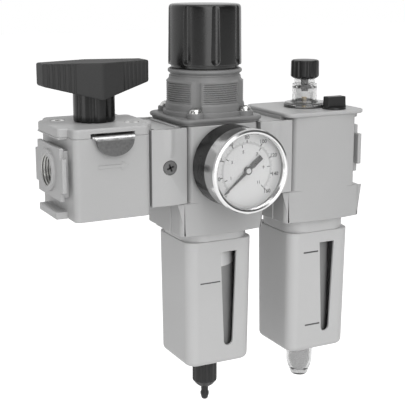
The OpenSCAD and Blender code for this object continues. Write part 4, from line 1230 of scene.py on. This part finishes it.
def make_filter_bowl():
    """Bowl in two finishes: a lighter band below the rim, and a grey wall that is painted shade in the
    window.
    """
    band = bowl_rim(highest("filter_bowl").z) + [(BOWL_R, CLEAR_BAND_END), (BOWL_BORE_R, CLEAR_BAND_END)]
    rim = smooth(turned(band, FILTER_AT, loop=True))
    dress(rim, "filter_bowl_band", "filter_bowl_unit", "clear_bowl", BAND_PLASTIC, "filter_bowl")
    start = CLEAR_BAND_END - BAND_GAP
    wall = [(BOWL_BORE_R, start), (BOWL_R, start)] + bowl_floor(lowest("filter_bowl").z, DRAIN_HOLE)
    shell = smooth(turned(wall, FILTER_AT, loop=True))
    dress(shell, "filter_bowl_wall", "filter_bowl_unit", "clear_bowl", BOWL_PLASTIC_PAINTED_SHADE)


NOSE_R = 9.8
NOSE_BORE_R = NOSE_R - BOWL_WALL
NOSE_LENGTH = 30.8
NOSE_GAP = 0.1
NOSE_HOLE = [(NOSE_R, 0), (NOSE_BORE_R, 3)]
NOSE_OUTSIDE = [(NOSE_R, 17.5), (9.7, 14.5), (9.6, 11.5), (9.25, 9.2), (8.1, 6), (6.8, 2)]
NOSE_OUTSIDE += [(6.5, 1.1), (6, 0.4), (5.4, 0.1), (4.6, 0), (0.02, 0)]
NOSE_INSIDE = [(0.02, 3.8), (4.4, 3.9), (5.2, 4.6), (6.4, 7), (7.5, 10), (7.9, 13), (NOSE_BORE_R, 18.5)]


def make_oil_bowl():
    """Bowl in two finishes: the wall behind the guard in a grey that paints shade, and the polished nose
    below it.
    """
    tip = lowest("oil_bowl").z
    floor = tip + NOSE_LENGTH
    wall = bowl_rim(highest("oil_bowl").z) + bowl_floor(floor, NOSE_HOLE)
    shell = smooth(turned(wall, OIL_AT, loop=True))
    dress(shell, "oil_bowl_wall", "oil_bowl_unit", "clear_bowl", BOWL_PLASTIC_PAINTED_SHADE, "oil_bowl")
    start = floor - NOSE_GAP
    profile = [(NOSE_R, start), *lifted(tip, NOSE_OUTSIDE + NOSE_INSIDE), (NOSE_BORE_R, start)]
    nose = smooth(turned(profile, OIL_AT, loop=True))
    dress(nose, "oil_bowl_nose", "oil_bowl_unit", "clear_bowl", NOSE_PLASTIC)


# Drain, drip knob and fill plug

DRAIN_R = 8.85
DRAIN_RIBS = 12
DRAIN_RIB_R = 1.5
DRAIN_RIB_REACH = DRAIN_R + 0.75
DRAIN_TOP = -141.1
DRAIN_LOW = -169
DRAIN_RIB_Z = (DRAIN_LOW + 1, -148)
DRAIN_NECK = [(4.9, 7), (4.9, 0), (DRAIN_R - 0.3, 0), (DRAIN_R, -0.4)]
DRAIN_WALL_Z = [-147.5, -148.2, -149, *spread(-152, DRAIN_LOW + 5.4, 4)]
DRAIN_FOOT = [(DRAIN_R - 0.2, 4.8), (DRAIN_R - 2.6, 1.8), (4.4, 0.4), (3.2, 0)]
DRAIN_NIPPLE = [(2.7, -0.6), (2.5, -3.6), (3.1, -5), (3.1, -6.4)]
NIPPLE_END = [(2.3, 0.5), (1.9, 0), (1.2, 0), (1.2, 6)]


def drain_radius(profile_r, z, angle):
    if DRAIN_RIB_Z[0] < z < DRAIN_RIB_Z[1]:
        return notched_radius(profile_r, angle, DRAIN_RIBS, 0, DRAIN_RIB_REACH, DRAIN_RIB_R)
    return profile_r


def make_drain():
    """Ribbed knob with a hose nipple below it."""
    profile = lifted(DRAIN_TOP, DRAIN_NECK) + [(DRAIN_R, z) for z in DRAIN_WALL_Z]
    profile += lifted(DRAIN_LOW, DRAIN_FOOT + DRAIN_NIPPLE) + lifted(lowest("drain_valve").z, NIPPLE_END)
    drain = smooth(fluted(profile, FILTER_X, steps=240, radius_at=drain_radius), angle=35)
    dress(drain, "drain_knob", "drain", "black_matte", DRAIN_BLACK, "drain_valve")


DRIP_KNOB_R = 10.2
DRIP_KNOB_Z0 = 49.6
DRIP_STEM_R = 2.6
DRIP_LOBES = 10
DRIP_LOBE_R = 1.9
DRIP_LOBE_REACH = DRIP_KNOB_R + 0.9
DRIP_PLAIN_R = 6
DRIP_SKIRT = [(DRIP_STEM_R, 0), (6.2, 0), (8.4, 0.3), (9.8, 1.3), (DRIP_KNOB_R, 2.2)]
DRIP_SKIRT += [(DRIP_KNOB_R - 0.1, 5)]
DRIP_CROWN = [(DRIP_KNOB_R - 0.2, -1.4), (DRIP_KNOB_R - 0.5, -0.6), (DRIP_KNOB_R - 1.3, -0.1)]
DRIP_CROWN += [(8.2, 0), (4, 0)]


def drip_knob_radius(profile_r, z, angle):
    if profile_r > DRIP_PLAIN_R:
        return notched_radius(profile_r, angle, DRIP_LOBES, 0, DRIP_LOBE_REACH, DRIP_LOBE_R)
    return profile_r


def make_drip_knob():
    profile = [(DRIP_STEM_R, lowest("drip_knob").z), *lifted(DRIP_KNOB_Z0, DRIP_SKIRT)]
    profile += lifted(highest("drip_knob").z, DRIP_CROWN)
    knob = smooth(fluted(profile, OIL_X, steps=200, radius_at=drip_knob_radius))
    dress(knob, "drip_rate_knob", "drip_knob", "black_gloss", CAP_BLACK, "drip_knob")


PLUG_FOOT = [(5.1, -8), (5.1, 0), (8.3, 0), (8.3, 0.8), (7.8, 1.4), (3, 1.6)]
PLUG_BAR_SIDE = [(8.1, 1), (7.6, 2.4), (7.4, 5)]
PLUG_BAR_TOP = 7.3
PLUG_BAR_HALF_T = 3.4
PLUG_GAP = 0.1


def make_fill_plug():
    middle = centre("fill_plug")
    at = (middle.x, middle.y, 0)
    base = LUBRICATOR_TOP + PLUG_GAP
    foot = turned(lifted(base, PLUG_FOOT), at, steps=64)
    dress(smooth(foot), "fill_plug_foot", "fill_plug", "black_matte", CAP_BLACK)
    right = lifted(base, PLUG_BAR_SIDE) + [(PLUG_BAR_TOP, highest("fill_plug").z)]
    bar = soften(prism(mirrored(right), -PLUG_BAR_HALF_T, PLUG_BAR_HALF_T, at, forward), width=0.5)
    dress(bar, "fill_plug_cap", "fill_plug", "black_matte", CAP_BLACK, "fill_plug")


# Gauge print and pointer hub

DIAL_FACE = -lowest("gauge_dial").y
PRINT_DEPTH = 0.2
PRINT_LIFT = 0.04
SCALE_SWEEP = 270
SCALE_START = 225
SCALE_ARC_R = 17.6
SCALE_ARC_HALF_T = 0.7
OUTER_STEPS = 8
OUTER_STEP = 20
FINE_PER_STEP = 4
OUTER_TICK = (17.8, 19.8, 0.36)
FINE_TICK = (18.2, 18.9, 0.1)
OUTER_NUMBER = (21.3, 3.5)
INNER_STEPS = 11
INNER_TICK = (15, 17.2, 0.28)
INNER_NUMBER = (12.3, 2.8)
NUMBER_T = 0.05
NUMBER_BOLDNESS = 0.07


def dial_direction(share):
    """Direction on the dial at a share of the scale, from lower left round to lower right."""
    a = math.radians(SCALE_START - SCALE_SWEEP * share)
    return Vector((math.cos(a), math.sin(a)))


def dial_shape(points, lift):
    """Thin print on the dial, inside an outline."""
    outline = [(FILTER_X + p.x, p.y) for p in points]
    return prism(outline, DIAL_FACE - PRINT_DEPTH, DIAL_FACE + lift, way=forward)


def dial_bar(share, inner, outer, half_t):
    """Flat tick on the dial."""
    aim = dial_direction(share)
    across = Vector((-aim.y, aim.x)) * half_t
    corners = [aim * inner - across, aim * outer - across, aim * outer + across, aim * inner + across]
    return dial_shape(corners, PRINT_LIFT)


def dial_number(label, share, radius, size):
    """Plain number, upright on the dial."""
    text = bpy.data.curves.new("number", "FONT")
    text.body = label
    text.size = size * MM
    text.align_x = "CENTER"
    text.align_y = "CENTER"
    text.extrude = NUMBER_T * MM
    text.offset = NUMBER_BOLDNESS * MM
    text.resolution_u = 3
    carrier = put_in_scene("number", text)
    bpy.context.view_layer.update()
    mesh = bpy.data.meshes.new_from_object(carrier.evaluated_get(bpy.context.evaluated_depsgraph_get()))
    aim = dial_direction(share) * radius
    place = Matrix.Translation(Vector((FILTER_X + aim.x, -DIAL_FACE, aim.y)) * MM)
    mesh.transform(place @ Matrix.Rotation(math.pi / 2, 4, "X"))
    bpy.data.objects.remove(carrier)
    return put_in_scene("number", mesh)


def make_dial_print():
    outline = []
    for side in (-1, 1):
        radius = SCALE_ARC_R + side * SCALE_ARC_HALF_T
        outline += [dial_direction(share) * radius for share in spread(0, 1, 61)[:: -side]]
    band = dial_shape(outline, PRINT_LIFT / 2)
    dress(band, "dial_scale_band", "unit", "dial_white", DIAL_GREY)
    outer = range(OUTER_STEPS + 1)
    fine_steps = FINE_PER_STEP * OUTER_STEPS
    inner = range(1, INNER_STEPS + 1, 2)
    marks = [dial_bar(i / OUTER_STEPS, *OUTER_TICK) for i in outer]
    marks += [dial_bar(i / fine_steps, *FINE_TICK) for i in range(fine_steps) if i % FINE_PER_STEP]
    marks += [dial_number(str(OUTER_STEP * i), i / OUTER_STEPS, *OUTER_NUMBER) for i in outer]
    marks += [dial_bar(i / INNER_STEPS, *INNER_TICK) for i in inner]
    marks += [dial_number(str(i), i / INNER_STEPS, *INNER_NUMBER) for i in inner]
    dress(joined(marks), "dial_scale_marks", "unit", "dial_white", PRINT_BLACK)


POINTER_CAP = [(1.7, -0.3), (1.7, 0.35), (1.3, 0.6), (0.4, 0.65)]


def make_pointer_hub():
    hub = turned(lifted(-lowest("gauge_pointer").y, POINTER_CAP), FILTER_AT, forward, 32)
    dress(smooth(hub), "pointer_hub_cap", "pointer", "pointer_black", POINTER_HUB)


# Flow arrow on the valve's front

ARROW = [(-10.5, -1), (5.5, -1), (5.5, -2.8), (10.5, 0), (5.5, 2.8), (5.5, 1), (-10.5, 1)]
ARROW_Z = 5
ARROW_ROOT = 0.3
ARROW_RISE = 0.45


def make_flow_arrow():
    outline = [(VALVE_X + u, ARROW_Z + v) for u, v in ARROW]
    arrow = prism(outline, VALVE_HALF_D - ARROW_ROOT, VALVE_HALF_D + ARROW_RISE, way=forward)
    finish_casting(soften(arrow, width=0.2, segments=2), "flow_arrow")


make_valve_body()
make_valve_cover()
make_lock_slide()
make_flow_arrow()
make_filter_body()
make_lubricator_body()
for number, coupling_x in ((1, (VALVE_X + FILTER_X) / 2), (2, (FILTER_X + OIL_X) / 2)):
    for side, place in ((1, "front"), (-1, "rear")):
        node = f"coupling_{place}_plate_{number}"
        make_coupling_plate(coupling_x, side, f"clamp_plate_{place}_{number}", node)
    make_plate_screws(coupling_x, f"clamp_screws_{number}", f"coupling_screws_{number}")
    make_coupling_strip(coupling_x, f"coupling_strip_{number}")
make_handle()
make_bonnet()
make_bonnet_screws()
make_adjusting_knob()

filter_guard = Guard("filter_bowl_guard", "filter_bowl_unit", FILTER_X, hole_r=9.35, drop=0)
filter_guard.build("filter_guard")
filter_guard.level_line("filter_level_line", start=-16, end=-0.8, z=-83.6, half_t=0.42)

oil_guard = Guard("oil_bowl_guard", "oil_bowl_unit", OIL_X, hole_r=10.4, drop=OIL_BOWL_DROP)
oil_guard.build("oil_guard")
oil_guard.level_line("oil_upper_line", start=-14, end=-1.8, z=-72.2, half_t=0.55)
oil_guard.level_line("oil_lower_line", start=-11.3, end=1.2, z=-127.1, half_t=0.55)

make_filter_bowl()
make_oil_bowl()
make_drain()
make_drip_knob()
make_fill_plug()
make_dial_print()
make_pointer_hub()

make_spring("main_spring", "main_spring_coil")
make_spring("poppet_spring", "poppet_spring_coil")
make_diaphragm()

# Finishes of the nodes that keep their own shape

NODE_FINISHES = {
    STEEL: "cover_screws adjusting_screw spring_nut diaphragm_plate valve_ball valve_spindle "
    "gauge_port_plug",
    CHROME: "gauge_case gauge_bezel",
    GAUGE_BLACK: "gauge_back_cover",
    BRASS: "gauge_stem bourdon_tube valve_bushing drip_tube poppet",
    RUBBER: "spindle_seal port_seals_1 port_seals_2 filter_bowl_seal dome_seal fill_plug_seal "
    "oil_bowl_seal",
    SEAT_WHITE: "ball_seats siphon_tube",
    FILTER_MEDIA: "filter_element",
    DOME_PLASTIC: "sight_dome",
    LENS_GLASS: "gauge_lens",
    DIAL_WHITE: "gauge_dial",
    POINTER_BLACK: "gauge_pointer",
    CASTING_PAINT: "coupling_block_1 coupling_block_2",
    DRAIN_BLACK: "poppet_guide deflector baffle",
}

for material, names in NODE_FINISHES.items():
    for name in names.split():
        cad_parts[name].data.materials.clear()
        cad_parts[name].data.materials.append(material)


# Floor, light and camera

FLOOR_DROP = 116
FLOOR_HALF = 6
FLOOR_GLOW = 0.76


def largest(tree, value, *others):
    for other in others:
        value = math_node(tree, "MAXIMUM", value, other)
    return value


def make_floor():
    """White floor that glows for the rays that show it, and not for those that light the object."""
    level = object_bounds()[0][2] / MM - FLOOR_DROP
    size = FLOOR_HALF / MM
    floor = mesh_piece([(x, y, level) for x, y in box_outline(size, size)], [(0, 1, 2, 3)], "floor")
    material = painted("floor_white", 0.85, 0.7, 200.0, 0.02)
    tree = material.node_tree
    rays = add_node(tree, "ShaderNodeLightPath").outputs
    shown = largest(tree, rays["Is Camera Ray"], rays["Is Glossy Ray"], rays["Is Transmission Ray"])
    glow = math_node(tree, "MULTIPLY", shown, FLOOR_GLOW)
    feed(tree.nodes["Principled BSDF"], {"Emission Color": grey(1), "Emission Strength": glow})
    floor.data.materials.append(material)


AMBIENT = 0.26
ROOM_FRONT = 0.12
ROOM_EDGES = (-0.3, 0.5)


def make_world():
    """White behind the object, a dim room in front of it for reflections, and an even soft light."""
    world = bpy.data.worlds.new("studio")
    bpy.context.scene.world = world
    world.use_nodes = True
    tree = world.node_tree
    rays = add_node(tree, "ShaderNodeLightPath").outputs
    room = rise_along(tree, "Generated", "Y", *ROOM_EDGES, ROOM_FRONT, 1.0)
    glossy = math_node(tree, "MULTIPLY", rays["Is Glossy Ray"], room)
    lit = math_node(tree, "MULTIPLY", rays["Is Diffuse Ray"], AMBIENT)
    shown = largest(tree, rays["Is Camera Ray"], rays["Is Transmission Ray"], glossy, lit)
    feed(tree.nodes["Background"], {"Color": grey(1), "Strength": shown})


UNIT_MIDDLE = Vector((115, 0, -40))


def softbox(name, azimuth, elevation, distance, width, height, watts):
    """Area lamp aimed at the middle of the unit; azimuth 0 is straight in front, positive to the right."""
    a = math.radians(azimuth)
    e = math.radians(elevation)
    away = Vector((math.sin(a) * math.cos(e), -math.cos(a) * math.cos(e), math.sin(e)))
    lamp = bpy.data.lights.new(name, "AREA")
    lamp.shape = "RECTANGLE"
    lamp.size = width
    lamp.size_y = height
    lamp.energy = watts
    holder = put_in_scene(name, lamp)
    holder.location = UNIT_MIDDLE * MM + away * distance
    holder.rotation_euler = away.to_track_quat("Z", "Y").to_euler()


# Camera fitted to the photograph: place, turn to the right, tilt down and focal length in pixels
CAMERA_AT = Vector((-195.57, -605.78, 124.95))
CAMERA_TURN = 26.969
CAMERA_TILT = 11.81
CAMERA_FOCUS = 1001.91
IMAGE_WIDTH = 405
CENTRE_RAISE = 20


def make_camera():
    camera = bpy.data.cameras.new("camera")
    camera.sensor_width = 36
    camera.lens = CAMERA_FOCUS / IMAGE_WIDTH * camera.sensor_width
    camera.shift_y = -CENTRE_RAISE / IMAGE_WIDTH
    camera.clip_end = 50
    holder = put_in_scene("camera", camera)
    holder.location = CAMERA_AT * MM
    holder.rotation_euler = (math.radians(90 - CAMERA_TILT), 0, math.radians(-CAMERA_TURN))
    bpy.context.scene.camera = holder


make_floor()
make_world()
softbox("front_softbox", azimuth=-10, elevation=22, distance=2.2, width=1.3, height=2.0, watts=27)
softbox("left_softbox", azimuth=-80, elevation=12, distance=1.8, width=0.6, height=1.4, watts=5.2)
softbox("top_softbox", azimuth=10, elevation=72, distance=1.3, width=1.2, height=0.8, watts=8)
make_camera()
bpy.context.scene.view_settings.view_transform = "Standard"
